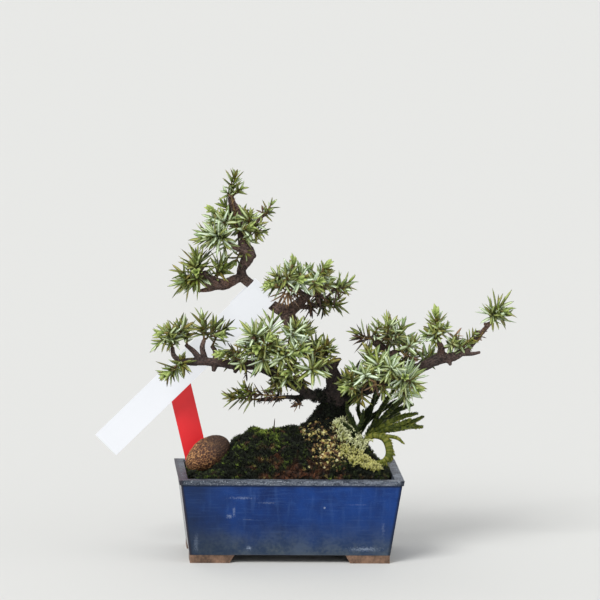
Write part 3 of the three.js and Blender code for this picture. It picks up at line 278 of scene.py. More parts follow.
BUDS = {  # bright new leaves: where they are and the way they face
    "needles_apex": [(-26, -14, 203, 0.8, -0.5, 0.3), (-49, -11, 212, -0.5, -0.6, 0.5)],
    "needles_hook": [(-58, -14, 175, -0.3, -0.9, 0.2)],
    "needles_pad": [
        (0, -18, 182, 0.3, -0.4, 0.9), (3, -26, 173, 0.3, -0.9, 0.3), (-14, -24, 169, -0.9, -0.4, 0),
        (20, -15, 180, 0.5, -0.5, 0.7), (14, -26, 172, 0.7, -0.7, 0.2),
    ],
    "needles_left": [
        (-79, -19, 139, -0.9, -0.3, 0.1), (-44, -20, 138, 0.9, -0.3, 0.1), (-75, -20, 114, -0.8, -0.4, -0.4),
    ],
    "needles_middle": [
        (-15, -34, 138, 0.7, -0.4, 0.6), (-22, -32, 132, -0.2, -1, -0.1), (0, -35, 129, 0.9, -0.4, 0),
        (6, -35, 131, 0.8, -0.4, 0.2), (-42, -16, 126, -0.9, -0.3, 0), (-3, -32, 118, -0.5, -0.8, -0.2),
    ],
    "needles_right": [
        (131, -4, 151, 0.7, -0.7, 0.1), (67, -35, 116, 0, -1, 0.1), (74, -34, 108, 0.6, -0.8, -0.1),
        (33, -23, 106, -0.9, -0.3, 0), (88, -5, 149, 0, -0.4, 0.9),
    ],
}
FRONDS = {  # the way each frond faces, its leaves' length as a share, its shade and its ribbons
    "frond_curl": ((0.3, -0.9, 0.3), 0.74, 0.76, [
        [(43, -7, 58, 1.8), (46, -7, 71, 2.4), (51, -9, 75, 3.2), (57, -11, 74, 3.8), (60, -13, 69, 4.1),
         (60, -15, 64, 3.9), (57, -17, 61, 3), (53, -18, 60, 1.5)],
        [(51, -9, 75, 2), (59, -11, 75, 2.1), (65, -12, 74, 1.9), (69, -13, 71, 0.9)],
    ]),
    "frond_right": ((-0.1, -0.8, 0.6), 0.86, 0.6, [
        [(46, -3, 58, 2), (49, -3, 74, 2.8), (60, -4, 78, 3.2), (71, -5, 80, 2.9), (80, -6, 80, 1.4)],
        [(57, -4, 77, 2.2), (67, -8, 79, 2.4), (76, -10, 82, 1.1)],
        [(68, -5, 80, 2.2), (75, -5, 83, 2.2), (81, -5, 86, 1)],
        [(51, -4, 76, 2.2), (60, -5, 82, 2.8), (69, -5, 86, 2.6), (77, -5, 88, 1.2)],
        [(49, -4, 72, 2), (58, -6, 78, 2.6), (67, -8, 82, 2.4), (73, -9, 85, 1.1)],
    ]),
    "frond_high": ((-0.4, -0.8, 0.4), 0.86, 0.48, [
        [(46, 1, 58, 2), (49, 1, 75, 2.7), (57, 2, 83, 3), (67, 3, 89, 2.7), (75, 3, 92, 1.3)],
        [(58, 2, 84, 2.3), (66, 3, 92, 2.5), (72, 4, 97, 1.1)],
        [(50, 1, 77, 2.2), (55, 3, 87, 2.6), (60, 4, 95, 2.3), (64, 4, 101, 1)],
        [(53, 1, 79, 1.9), (60, 7, 82, 2.3), (68, 12, 85, 1.2)],
        [(51, 0, 75, 2), (57, -1, 84, 2.6), (63, -1, 91, 2.4), (68, -1, 96, 1.1)],
    ]),
    "frond_up": ((-0.5, -0.9, 0.1), 0.86, 0.32, [
        [(43, 6, 58, 2), (44, 6, 75, 2.4), (47, 9, 84, 2.7), (52, 11, 91, 2.4), (56, 12, 97, 1.1)],
        [(45, 8, 80, 2), (43, 12, 87, 2.1), (44, 16, 92, 1)],
        [(45, 7, 77, 2.1), (52, 9, 84, 2.4), (60, 11, 89, 2.2), (66, 13, 93, 1)],
        [(45, 6, 75, 2), (49, 5, 84, 2.3), (51, 4, 92, 2), (52, 4, 98, 1)],
    ]),
    "frond_left": ((0.1, -1, 0.2), 0.9, 0.28, [
        [(40, -11, 58, 1.8), (40, -11, 76, 2.3), (38, -11, 84, 2.3), (34, -12, 91, 1.1)],
        [(40, -11, 77, 1.9), (43, -12, 84, 2.2), (44, -13, 91, 1)],
        [(40, -11, 74, 1.7), (36, -13, 80, 1.9), (31, -14, 84, 0.9)],
        [(40, -11, 72, 1.7), (37, -10, 83, 2), (35, -9, 90, 1.8), (34, -9, 95, 0.9)],
    ]),
}
SCUFFS = [  # marks on the glaze: x, z, half length, half height, strength
    (-30, 41, 10, 1.2, 0.3), (-34.5, 33, 1.3, 5, 0.3), (-37, 29.5, 2.4, 1.8, 0.5), (-26, 27.5, 6, 0.6, 0.15),
    (20, 35, 0.8, 0.8, 0.9), (-14, 38, 7, 0.8, 0.2), (40, 37, 9, 0.7, 0.12), (-25, 9.5, 2.5, 1.6, 0.6),
    (45, 9, 13, 1.8, 0.45), (-57, 12, 2, 8, 0.2), (56, 22, 1.4, 7, 0.15),
]
CLIPPED = {"mid_brush": 0.72, "apex_twig": 0.85}  # share of the model's needle length
FORK_SHARE = 0.3  # how far up the first shoot a side shoot leaves it
TAG_FOLD = np.array((-18.5, -0.1, 159.5))  # the front sheet of the white tag where it leaves the trunk
TAG_ALONG, TAG_ACROSS = np.array((-0.7, 0, -0.714)), np.array((-0.714, 0, 0.7))
TAG_LENGTH, TAG_HALF_WIDTH, TAG_LEAN = 132, 9, 9
POT_HEIGHT, FOOT_HEIGHT, SOIL_TOP = 52, 5, 46
POT_FLARE = 6.5  # how far each wall leans out from the top of the feet to the rim
POT_FOOT_HALF = (60.7, 29.7)  # half length and half depth of the glazed body where the feet begin


# Meshes


def new_object(name, mesh):
    made = bpy.data.objects.new(name, mesh)
    bpy.context.scene.collection.objects.link(made)
    return made


def new_piece(name, points, faces=(), edges=()):
    mesh = bpy.data.meshes.new(name)
    mesh.from_pydata([tuple(p) for p in points], edges, faces)
    mesh.update()
    return new_object(name, mesh)


def mesh_from(form, name):
    """A mesh from a bmesh form, which is let go."""
    mesh = bpy.data.meshes.new(name)
    form.to_mesh(mesh)
    form.free()
    return mesh


def copy_of(node, name):
    """A copy of a node's mesh with its loose triangles joined and flat faces made whole."""
    form = bmesh.new()
    form.from_mesh(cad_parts[node].data)
    bmesh.ops.remove_doubles(form, verts=form.verts, dist=1e-6)
    bmesh.ops.dissolve_limit(form, angle_limit=math.radians(0.5), verts=form.verts, edges=form.edges)
    return new_object(name, mesh_from(form, name))


def settled(piece):
    """The piece with its modifiers worked into its mesh."""
    bpy.context.view_layer.update()
    whole = piece.evaluated_get(bpy.context.evaluated_depsgraph_get())
    mesh = bpy.data.meshes.new_from_object(
        whole, preserve_all_data_layers=True, depsgraph=bpy.context.evaluated_depsgraph_get())
    mesh.name = piece.name
    old = piece.data
    piece.modifiers.clear()
    piece.data = mesh
    bpy.data.meshes.remove(old)
    return piece


def modifier(piece, kind, **settings):
    made = piece.modifiers.new(kind.title(), kind)
    for key, value in settings.items():
        setattr(made, key, value)


def smooth(piece):
    piece.data.polygons.foreach_set("use_smooth", [True] * len(piece.data.polygons))


def remeshed(piece, cell):
    """The piece's surface laid anew in even cells."""
    modifier(piece, "REMESH", mode="VOXEL", voxel_size=cell)
    return settled(piece)


def softened(node, name, width, segments, angle=0.5):
    """A copy of a node with its edges sharper than angle rounded."""
    piece = copy_of(node, name)
    modifier(piece, "BEVEL", width=width, segments=segments, limit_method="ANGLE", angle_limit=angle)
    smooth(piece)
    modifier(piece, "WEIGHTED_NORMAL", keep_sharp=True)
    return settled(piece)


def rows_of(items, key):
    """Three values of each item, such as its place, as an array of rows."""
    flat = np.empty(len(items) * 3)
    items.foreach_get(key, flat)
    return flat.reshape(-1, 3)


def points_of(mesh):
    return rows_of(mesh.vertices, "co")


def normals_of(mesh):
    return rows_of(mesh.vertex_normals, "vector")


def set_points(mesh, points):
    mesh.vertices.foreach_set("co", np.asarray(points).ravel())
    mesh.update()


def store(mesh, **fields):
    """Writes values for the points under their names: one for all of them, or one for each."""
    for name, values in fields.items():
        values = np.asarray(values, float)
        if values.ndim == 0:
            values = np.full(len(mesh.vertices), values)
        kind, key = ("FLOAT", "value") if values.ndim == 1 else ("FLOAT_VECTOR", "vector")
        if name in mesh.attributes:
            mesh.attributes.remove(mesh.attributes[name])
        mesh.attributes.new(name, kind, "POINT").data.foreach_set(key, values.ravel())


def coat_with(material, piece):
    piece.data.materials.clear()
    piece.data.materials.append(material)


def dress(piece, material, slot, *nodes):
    """Gives a finished piece its material and its place on the body, and hides the nodes it stands for."""
    if material:
        coat_with(material, piece)
    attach(piece, "root")
    if nodes:
        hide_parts(*nodes)


# Lines and sums


def clamp(value):
    return max(0, min(1, value))


def unit(vectors):
    """Directions with a length of 1, one or a row of them."""
    vectors = np.asarray(vectors, float)
    return vectors / np.linalg.norm(vectors, axis=-1, keepdims=True)


def across_from(direction):
    """A vector at right angles to a direction."""
    return np.cross(direction, (0, 0, 1) if abs(direction[2]) < 0.9 else (1, 0, 0))


def run_along(line):
    """How far along a line each of its points is."""
    return np.concatenate([[0], np.cumsum(np.linalg.norm(np.diff(line[:, :3], axis=0), axis=1))])


def evened(line, count):
    """A line's points moved to even distances, and those distances."""
    run = run_along(line)
    places = np.linspace(0, run[-1], count)
    return np.stack([np.interp(places, run, column) for column in line.T], axis=1), places


def smooth_line(points, steps):
    """x, y, z and radius samples on a smooth curve through points."""
    p = np.array(points, float)
    xyz = np.vstack([2 * p[0, :3] - p[1, :3], p[:, :3], 2 * p[-1, :3] - p[-2, :3]])
    line = []
    for i in range(len(p) - 1):
        a, b, c, d = xyz[i:i + 4]
        t01, t12, t23 = (max(np.linalg.norm(q - r) ** 0.5, 1e-4) for q, r in ((b, a), (c, b), (d, c)))
        m1 = ((b - a) / t01 - (c - a) / (t01 + t12) + (c - b) / t12) * t12
        m2 = ((c - b) / t12 - (d - b) / (t12 + t23) + (d - c) / t23) * t12
        for s in np.linspace(0, 1, steps, endpoint=False):
            h = b + m1 * s + (3 * (c - b) - 2 * m1 - m2) * s * s + (2 * (b - c) + m1 + m2) * s ** 3
            line.append((*h, p[i, 3] + (p[i + 1, 3] - p[i, 3]) * s))
    line.append(tuple(p[-1]))
    return np.array(line)


def tangents_along(line):
    return unit(np.gradient(line[:, :3], axis=0))


def frames_along(line):
    """Two cross directions at every sample, carried along with the least twist."""
    tangents = tangents_along(line)
    side = across_from(tangents[0])
    sides = []
    for tangent in tangents:
        side = unit(side - tangent * (side @ tangent))
        sides.append(side)
    return np.array(sides), np.cross(tangents, sides)


def tube(line, sides, shape=None):
    """Points and faces of a closed tube; shape(i, angle) gives its radius as a share."""
    across, over = frames_along(line)
    points, faces = [], []
    for i, (x, y, z, radius) in enumerate(line):
        for k in range(sides):
            angle = 2 * math.pi * k / sides
            reach = radius * (shape(i, angle) if shape else 1)
            points.append((x, y, z) + reach * (math.cos(angle) * across[i] + math.sin(angle) * over[i]))
    for i in range(len(line) - 1):
        for k in range(sides):
            a, b = i * sides + k, i * sides + (k + 1) % sides
            faces.append((a, b, b + sides, a + sides))
    last = (len(line) - 1) * sides
    faces.append(tuple(range(sides - 1, -1, -1)))
    faces.append(tuple(range(last, last + sides)))
    return points, faces


def joined(parts):
    """One list of points and faces from several."""
    points, faces = [], []
    for some_points, some_faces in parts:
        start = len(points)
        points += list(some_points)
        faces += [tuple(start + i for i in face) for face in some_faces]
    return points, faces


# Node trees


def plug(tree, socket, value):
    """Links a socket as input, or sets its value."""
    if isinstance(value, bpy.types.NodeSocket):
        tree.links.new(value, socket)
    elif value is not None:
        socket.default_value = value


def node(tree, kind, inputs=None, **settings):
    """A new node with its settings, and its inputs by name or number linked or set."""
    made = tree.nodes.new(kind)
    for key, value in settings.items():
        setattr(made, key, value)
    for key, value in (inputs or {}).items():
        plug(tree, made.inputs[key], value)
    made.location = (180 * (len(tree.nodes) % 12), -220 * (len(tree.nodes) // 12))
    return made


def number(tree, operation, a, b=None, c=None):
    """The result of one sum."""
    return node(tree, "ShaderNodeMath", {0: a, 1: b, 2: c}, operation=operation).outputs[0]


def times(tree, a, b):
    return number(tree, "MULTIPLY", a, b)


def arrow(tree, operation, a, b=None, scale=None):
    """The result of one sum of vectors."""
    made = node(tree, "ShaderNodeVectorMath", {0: a, 1: b, 3: scale}, operation=operation)
    return made.outputs["Value" if operation in ("DISTANCE", "DOT_PRODUCT", "LENGTH") else "Vector"]


def new_group(name, family, inputs, output, output_kind):
    """An empty node group with named inputs and one output, and the sockets of its inputs."""
    tree = bpy.data.node_groups.new(name, family)
    for title, kind, default in inputs:
        made = tree.interface.new_socket(name=title, in_out="INPUT", socket_type="NodeSocket" + kind)
        if default is not None:
            made.default_value = default
    tree.interface.new_socket(name=output, in_out="OUTPUT", socket_type="NodeSocket" + output_kind)
    return tree, node(tree, "NodeGroupInput").outputs


def tint(tree, base, mask, colour, share=1):
    """The base with a colour laid over it where the mask is, as strongly as share."""
    factor = mask if share == 1 else times(tree, mask, share)
    return node(tree, "ShaderNodeMix", {0: factor, 6: base, 7: colour}, data_type="RGBA").outputs[2]


def ramp(tree, factor, *stops):
    """A colour for each place on a scale."""
    made = node(tree, "ShaderNodeValToRGB", {0: factor})
    band = made.color_ramp
    while len(band.elements) < len(stops):
        band.elements.new(1)
    for element, (place, colour) in zip(band.elements, stops):
        element.position = place
        element.color = tuple(colour)
    return made.outputs[0]


def between(tree, value, low, high):
    """0 below low, 1 above high and smooth between."""
    return node(
        tree, "ShaderNodeMapRange", {"Value": value, "From Min": low, "From Max": high},
        interpolation_type="SMOOTHSTEP",
    ).outputs[0]


def fade(tree, value, low, high):
    """The same, with both ends in millimetres."""
    return between(tree, value, low * MM, high * MM)


def rgb(red, green, blue):
    """A colour as it is seen, from 0 to 255, turned into the linear values of a socket."""
    def linear(part):
        part /= 255
        return part / 12.92 if part <= 0.04045 else ((part + 0.055) / 1.055) ** 2.4
    return (linear(red), linear(green), linear(blue), 1)


def noise_of(tree, coords, scale, detail, roughness=0.5):
    return node(tree, "ShaderNodeTexNoise", {
        "Vector": coords, "Scale": scale, "Detail": detail, "Roughness": roughness,
    }).outputs[0]


def mottle_group(name):
    """Shader group: soft patches of two colours, with a finer grain on them."""
    tree, source = new_group(name, "ShaderNodeTree", [
        ("Vector", "Vector", None), ("Dark", "Color", None), ("Light", "Color", None),
        ("Scale", "Float", 100), ("Contrast", "Float", 0.2), ("Grain", "Float", 0.3),
    ], "Color", "Color")
    broad = noise_of(tree, source["Vector"], source["Scale"], 4)
    fine = noise_of(tree, source["Vector"], times(tree, source["Scale"], 6), 2)
    grain = times(tree, number(tree, "SUBTRACT", fine, 0.5), source["Grain"])
    level = number(tree, "ADD", broad, grain)
    low = number(tree, "SUBTRACT", 0.5, source["Contrast"])
    high = number(tree, "ADD", 0.5, source["Contrast"])
    colour = tint(tree, source["Dark"], between(tree, level, low, high), source["Light"])
    node(tree, "NodeGroupOutput", {"Color": colour})
    return tree


def relief_group(name):
    """Shader group: a surface normal from noise at two scales, for fine unevenness."""
    tree, source = new_group(name, "ShaderNodeTree", [
        ("Vector", "Vector", None), ("Scale", "Float", 500), ("Height", "Float", 0.2 * MM),
    ], "Normal", "Vector")
    coarse = noise_of(tree, source["Vector"], source["Scale"], 2)
    fine = noise_of(tree, source["Vector"], times(tree, source["Scale"], 5), 2)
    height = number(tree, "ADD", coarse, times(tree, fine, 0.3))
    bump = node(tree, "ShaderNodeBump", {"Distance": source["Height"], "Height": height})
    node(tree, "NodeGroupOutput", {"Normal": bump.outputs[0]})
    return tree


class Finish:
    """A material being made: its tree, its surface shader and its place on the object."""

    def __init__(self, name, roughness, **sockets):
        self.material = bpy.data.materials.new(name)
        self.material.use_nodes = True
        self.tree = self.material.node_tree
        self.surface = self.tree.nodes["Principled BSDF"]
        self.surface.inputs["Roughness"].default_value = roughness
        for key, value in sockets.items():
            self.surface.inputs[key.replace("_", " ")].default_value = value
        where = node(self.tree, "ShaderNodeTexCoord").outputs["Object"]
        centred = node(self.tree, "ShaderNodeMapping", {"Vector": where, "Location": tuple(-POT_MIDDLE)})
        self.place = centred.outputs[0]

    def stretched(self, x, y, z):
        return node(self.tree, "ShaderNodeMapping", {"Vector": self.place, "Scale": (x, y, z)}).outputs[0]

    def noise(self, scale, detail, roughness=0.5, vector=None):
        return noise_of(self.tree, vector or self.place, scale, detail, roughness)

    def group(self, name, build, values):
        """The output of a shader group, which is built when it is first asked for."""
        shared = bpy.data.node_groups.get(name) or build(name)
        return node(self.tree, "ShaderNodeGroup", values, node_tree=shared).outputs[0]

    def mottle(self, dark, light, scale, contrast=0.2, grain=0.3, vector=None):
        return self.group("Mottle", mottle_group, {
            "Vector": vector or self.place, "Dark": dark, "Light": light, "Scale": scale,
            "Contrast": contrast, "Grain": grain,
        })

    def relief(self, scale, height):
        normal = self.group("Relief", relief_group, {"Vector": self.place, "Scale": scale, "Height": height})
        plug(self.tree, self.surface.inputs["Normal"], normal)

    def attribute(self, name):
        return node(self.tree, "ShaderNodeAttribute", attribute_name=name).outputs["Fac"]

    def paint(self, colour, roughness=None):
        plug(self.tree, self.surface.inputs["Base Color"], colour)
        plug(self.tree, self.surface.inputs["Roughness"], roughness)
        return self.material


# Materials


def glaze(settings):
    """Cobalt glaze that thins to grey at the rim and the foot, and bare clay feet."""
    finish = Finish("cobalt_glaze", 0.22, Specular_IOR_Level=0.2)
    tree = finish.tree
    x, y, z = node(tree, "ShaderNodeSeparateXYZ", {0: finish.place}).outputs
    # Thick and thin glaze, with pale streaks, brush marks and specks
    base = finish.mottle(settings.glaze_dark, settings.glaze, 22, 0.3, 0.35)
    streaks = finish.noise(1, 4, vector=finish.stretched(300, 300, 36))
    brushed = finish.noise(1, 3, vector=finish.stretched(60, 60, 900))
    specks = finish.noise(1500, 2)
    for marks, low, high, share in (
        (streaks, 0.5, 0.8, 0.3), (brushed, 0.5, 0.75, 0.28), (specks, 0.56, 0.74, 0.22),
    ):
        base = tint(tree, base, between(tree, marks, low, high), settings.glaze_pale, share)
    # Darker from half height down, grey towards the foot, and painted shade towards the left
    wander = times(tree, finish.noise(60, 3), 14 * MM)
    height = number(tree, "ADD", z, wander)
    base = tint(tree, base, fade(tree, height, 48, 30), rgb(14, 26, 52), 0.32)
    foot_grey = finish.mottle(rgb(41, 55, 73), rgb(72, 82, 88), 90, 0.25, 0.6)
    base = tint(tree, base, fade(tree, height, 37, 7), foot_grey)
    # Painted shade towards the left
    left = fade(tree, number(tree, "ADD", x, wander), -16, -64)
    base = tint(tree, base, left, rgb(22, 36, 58), 0.66)
    # The lip, worn to grey with painted shade to the left and painted glints; painted shade in the groove
    lip = fade(tree, z, 48.7, 49.4)
    lengthwise = finish.stretched(0.5, 0.5, 1.4)
    lip_wear_and_painted_light = finish.mottle(rgb(34, 42, 56), rgb(106, 113, 124), 330, 0.2, 0.8, lengthwise)
    # Painted shade towards the left of the lip, then painted glints
    lip_wear_and_painted_light = tint(tree, lip_wear_and_painted_light, fade(tree, x, -15, -60), rgb(30, 37, 50), 0.5)
    lip_wear_and_painted_light = tint(tree, lip_wear_and_painted_light, between(tree, specks, 0.57, 0.68), rgb(176, 182, 190), 0.7)
    base = tint(tree, base, lip, lip_wear_and_painted_light)
    # Painted shade in the groove under the lip
    groove_painted_shade = times(tree, fade(tree, z, 47.4, 48.6), number(tree, "SUBTRACT", 1, lip))
    base = tint(tree, base, groove_painted_shade, rgb(24, 34, 48), 0.7)
    # Dark edges, and a painted reflection that greys the left end
    above_feet = number(tree, "SUBTRACT", z, FOOT_HEIGHT * MM)
    rise = number(tree, "DIVIDE", above_feet, (POT_HEIGHT - FOOT_HEIGHT) * MM)
    off_x, off_y = (  # how far inside the outer walls a place is, along x and along y
        number(tree, "SUBTRACT", number(tree, "MULTIPLY_ADD", rise, POT_FLARE * MM, half * MM),
               number(tree, "ABSOLUTE", place))
        for place, half in zip((x, y), POT_FOOT_HALF))
    edge = fade(tree, number(tree, "MAXIMUM", off_x, off_y), 2.2, 0.6)
    base = tint(tree, base, edge, rgb(16, 22, 34), 0.75)
    # Painted reflection: the left end face turned grey
    left_end_reflection = times(tree, fade(tree, off_x, 1.6, 0.3), fade(tree, x, 0, -40))
    base = tint(tree, base, left_end_reflection, rgb(58, 54, 60), 0.6)
    # Scuffs on the front
    ragged = times(tree, finish.noise(1100, 5, 0.75), 3.4)
    front = fade(tree, y, -20, -26)
    for across, up, length, tall, strength in SCUFFS:
        away = node(tree, "ShaderNodeMapping", {
            "Vector": finish.place, "Location": (-across / length, 0, -up / tall),
            "Scale": (1 / length / MM, 0, 1 / tall / MM),
        }).outputs[0]
        scuff = between(tree, number(tree, "ADD", arrow(tree, "LENGTH", away), ragged), 2.6, 1.6)
        base = tint(tree, base, times(tree, scuff, front), rgb(150, 164, 186), strength)
    # Bare clay feet, and painted shade on the inside of the wall
    clay = finish.mottle(rgb(74, 58, 48), rgb(134, 105, 86), 120, 0.3, 0.6)
    bare = fade(tree, z, 5.3, 4.6)
    base = tint(tree, base, bare, clay)
    # Painted shade on the inside of the wall
    painted_inside_shade = fade(tree, number(tree, "MINIMUM", off_x, off_y), 5, 6)
    base = tint(tree, base, painted_inside_shade, rgb(20, 30, 44), 0.8)
    finish.relief(140, 0.25 * MM)
    rough = number(tree, "ADD", times(tree, number(tree, "MAXIMUM", bare, lip), 0.3), 0.2)
    return finish.paint(base, rough)


def bark(settings):
    """Flaking bark: dark in the cracks, grey and red-brown on the plates."""
    finish = Finish("juniper_bark", 0.85)
    tree = finish.tree
    base = finish.mottle(settings.bark_dark, settings.bark, 160, 0.25, 0.8)
    base = tint(tree, base, between(tree, finish.noise(90, 3), 0.5, 0.68), settings.bark_red, 0.5)
    flecks = between(tree, finish.noise(1100, 4, 0.65), 0.54, 0.68)
    base = tint(tree, base, flecks, settings.bark_grey, 0.6)
    height = node(tree, "ShaderNodeSeparateXYZ", {0: finish.place}).outputs[2]
    # Painted shade low on the trunk, under the foliage
    base = tint(tree, base, fade(tree, height, 136, 108), rgb(28, 23, 22), 0.85)
    base = tint(tree, base, between(tree, finish.attribute("crack"), 0.2, 0.9), rgb(22, 16, 16))
    algae = finish.mottle(rgb(8, 11, 6), rgb(26, 34, 15), 300, 0.2, 0.6)
    base = tint(tree, base, finish.attribute("mossy"), algae)
    finish.relief(900, 0.6 * MM)
    return finish.paint(base)


def needle_material(settings):
    """Needles: a mint band between green margins on the inner face, deep green outside.

    age runs from 0, a soft new bud, through 0.5, a grown needle, to 1, a dead one."""
    finish = Finish("juniper_needle", 0.42, Specular_IOR_Level=0.4)
    tree = finish.tree
    uv = node(tree, "ShaderNodeUVMap", uv_map="UVMap").outputs[0]
    across, along, _ = node(tree, "ShaderNodeSeparateXYZ", {0: uv}).outputs
    age = finish.attribute("age")
    shade = finish.attribute("shade")
    from_middle = number(tree, "ABSOLUTE", number(tree, "SUBTRACT", across, 0.25))
    inner = between(tree, across, 0.52, 0.5)
    ends = times(tree, between(tree, along, 0.02, 0.12), between(tree, along, 0.98, 0.85))
    band = times(tree, times(tree, between(tree, from_middle, 0.17, 0.09), inner), ends)
    outer_green = ramp(
        tree, shade, (0.05, settings.needle_dark), (0.45, settings.needle), (0.65, rgb(134, 150, 66)),
        (1, settings.needle_light))
    inner_green = ramp(
        tree, shade, (0.05, rgb(48, 58, 26)), (0.5, rgb(124, 138, 56)), (0.75, rgb(138, 158, 92)),
        (1, rgb(160, 184, 136)))
    bloom = ramp(
        tree, shade, (0.05, rgb(88, 98, 52)), (0.45, rgb(168, 178, 102)), (0.7, settings.needle_band),
        (1, rgb(226, 238, 216)))
    grown_up = tint(tree, tint(tree, outer_green, inner, inner_green), band, bloom)
    golden = between(tree, finish.noise(150, 3), 0.47, 0.68)
    golden = times(tree, golden, between(tree, shade, 0.85, 0.6))
    grown_up = tint(tree, grown_up, golden, rgb(156, 132, 60), 0.55)
    # Painted shade at the foot of each needle, in the middle of its whorl
    grown_up = tint(tree, grown_up, between(tree, along, 0.42, 0.02), rgb(62, 54, 24), 0.65)
    new = tint(tree, settings.bud, along, settings.bud_tip)
    dead = ramp(tree, shade, (0, rgb(50, 37, 34)), (0.5, settings.needle_dead), (1, rgb(156, 124, 92)))
    base = tint(tree, grown_up, between(tree, age, 0.3, 0.1), new)
    base = tint(tree, base, between(tree, age, 0.7, 0.9), dead)
    base = tint(tree, base, between(tree, along, 0.9, 1.0), rgb(150, 110, 70), 0.5)
    return finish.paint(base)


def mottled_material(name, roughness, dark, light, scale, contrast, grain, fineness, height):
    """A plain finish of two mottled colours with fine relief."""
    finish = Finish(name, roughness)
    finish.relief(fineness, height)
    return finish.paint(finish.mottle(dark, light, scale, contrast, grain))


def stem_material():
    """Green-brown young stems under the needles."""
    return mottled_material(
        "young_stem", 0.7, rgb(92, 62, 40), rgb(126, 112, 58), 300, 0.25, 0.5, 1500, 0.2 * MM)


def soil_material():
    """Dark potting soil."""
    return mottled_material(
        "potting_soil", 0.95, rgb(24, 17, 13), rgb(78, 58, 44), 500, 0.25, 0.9, 1400, 0.4 * MM)


def moss_material(settings):
    """Moss: near black at the foot of each leaf, bright at its tip."""
    finish = Finish("cushion_moss", 0.75)
    tree = finish.tree
    tone = finish.attribute("tone")
    tips = ramp(
        tree, tone, (0, settings.moss_deep), (0.55, settings.moss), (0.85, settings.moss_bright),
        (1, rgb(170, 190, 84)))
    base = tint(tree, settings.moss_deep, between(tree, finish.attribute("rise"), 0.1, 1.0), tips)
    dry = ramp(tree, tone, (0, rgb(46, 26, 18)), (0.6, rgb(112, 66, 38)), (1, rgb(188, 150, 108)))
    return finish.paint(tint(tree, base, finish.attribute("litter"), dry))


def ground_material():
    """The dark mat under the moss shoots."""
    finish = Finish("moss_mat", 0.95)
    base = finish.mottle(rgb(10, 11, 6), rgb(28, 34, 14), 260, 0.25, 0.8)
    litter = finish.mottle(rgb(28, 18, 12), rgb(84, 52, 32), 420, 0.25, 0.8)
    finish.relief(900, 0.8 * MM)
    return finish.paint(tint(finish.tree, base, finish.attribute("litter"), litter))


def litter_material():
    """Crumbs on the moss: brown, tan, cream and a little yellow."""
    finish = Finish("moss_litter", 0.9)
    base = ramp(
        finish.tree, finish.attribute("tone"), (0, rgb(58, 38, 28)), (0.3, rgb(112, 80, 50)),
        (0.6, rgb(164, 142, 82)), (0.8, rgb(186, 180, 106)), (1, rgb(214, 206, 158)))
    finish.relief(1400, 0.3 * MM)
    return finish.paint(base)


def lichen_material(name, low, high, tip):
    """A lichen, mottled from a low to a high colour, with pale tips."""
    finish = Finish(name, 0.9)
    tree = finish.tree
    base = tint(tree, low, finish.attribute("tone"), high)
    base = tint(tree, base, between(tree, finish.attribute("rise"), 0.3, 1.0), tip)
    base = tint(tree, base, between(tree, finish.noise(1800, 2), 0.45, 0.65), low, 0.25)
    finish.relief(1600, 0.25 * MM)
    return finish.paint(base)


def frond_material(settings):
    """Scale-leaved fronds: from dark green through olive to straw, and paler at the leaves' tips."""
    finish = Finish("spikemoss_frond", 0.5, Specular_IOR_Level=0.2)
    tree = finish.tree
    base = ramp(
        tree, finish.attribute("shade"), (0, rgb(12, 20, 8)), (0.4, settings.frond),
        (0.7, rgb(110, 120, 44)), (1, rgb(176, 172, 84)))
    tips = between(tree, finish.attribute("rise"), 0.7, 1)
    return finish.paint(tint(tree, base, tips, rgb(132, 138, 74), 0.4))


def shell_material():
    """Woody shell: brown in the pits, straw on the net of ridges, and painted shade towards one end."""
    finish = Finish("woody_shell", 0.75)
    tree = finish.tree
    base = ramp(
        tree, finish.attribute("net"), (0, rgb(54, 29, 18)), (0.4, rgb(104, 62, 38)),
        (1, rgb(222, 172, 108)))
    # Painted shade towards the shadeward end
    away = between(tree, finish.attribute("shadeward"), 0.3, 1.0)
    base = tint(tree, base, away, rgb(40, 24, 19), 0.9)
    base = tint(tree, base, between(tree, finish.noise(1500, 3), 0.5, 0.75), rgb(170, 124, 80), 0.3)
    finish.relief(1200, 0.25 * MM)
    return finish.paint(base)


def plastic(name, colour, shade, roughness, **sockets):
    """Thin plastic sheet with faint handling marks."""
    finish = Finish(name, roughness, **sockets)
    tree = finish.tree
    base = finish.mottle(shade, colour, 40, 0.3, 0.3)
    marks = between(tree, finish.noise(300, 4, 0.7), 0.55, 0.8)
    finish.relief(220, 0.05 * MM)
    return finish.paint(base, number(tree, "ADD", times(tree, marks, 0.2), roughness))


def mesh_material():
    """Black plastic of the drain meshes."""
    finish = Finish("black_plastic", 0.5)
    return finish.paint(finish.mottle(rgb(18, 18, 20), rgb(38, 38, 42), 200))


def floor_material(settings):
    finish = Finish("pale_floor", 0.9, Specular_IOR_Level=0.1)
    finish.surface.inputs["Base Color"].default_value = settings.backdrop
    return finish.material


# Repeats: one node tree for each rule, worked into a plain mesh


def spread_tree(name, inputs):
    """A geometry node tree with named inputs."""
    inputs = [("Geometry", "Geometry", None), *inputs]
    return new_group(name, "GeometryNodeTree", inputs, "Geometry", "Geometry")


def placed_copies(tree, points, form, turn, size, selection=None):
    """Instances of an object's mesh on points."""
    mesh = node(tree, "GeometryNodeObjectInfo", {"Object": form}).outputs["Geometry"]
    return node(tree, "GeometryNodeInstanceOnPoints", {
        "Points": points, "Selection": selection, "Instance": mesh, "Rotation": turn, "Scale": size,
    }).outputs[0]


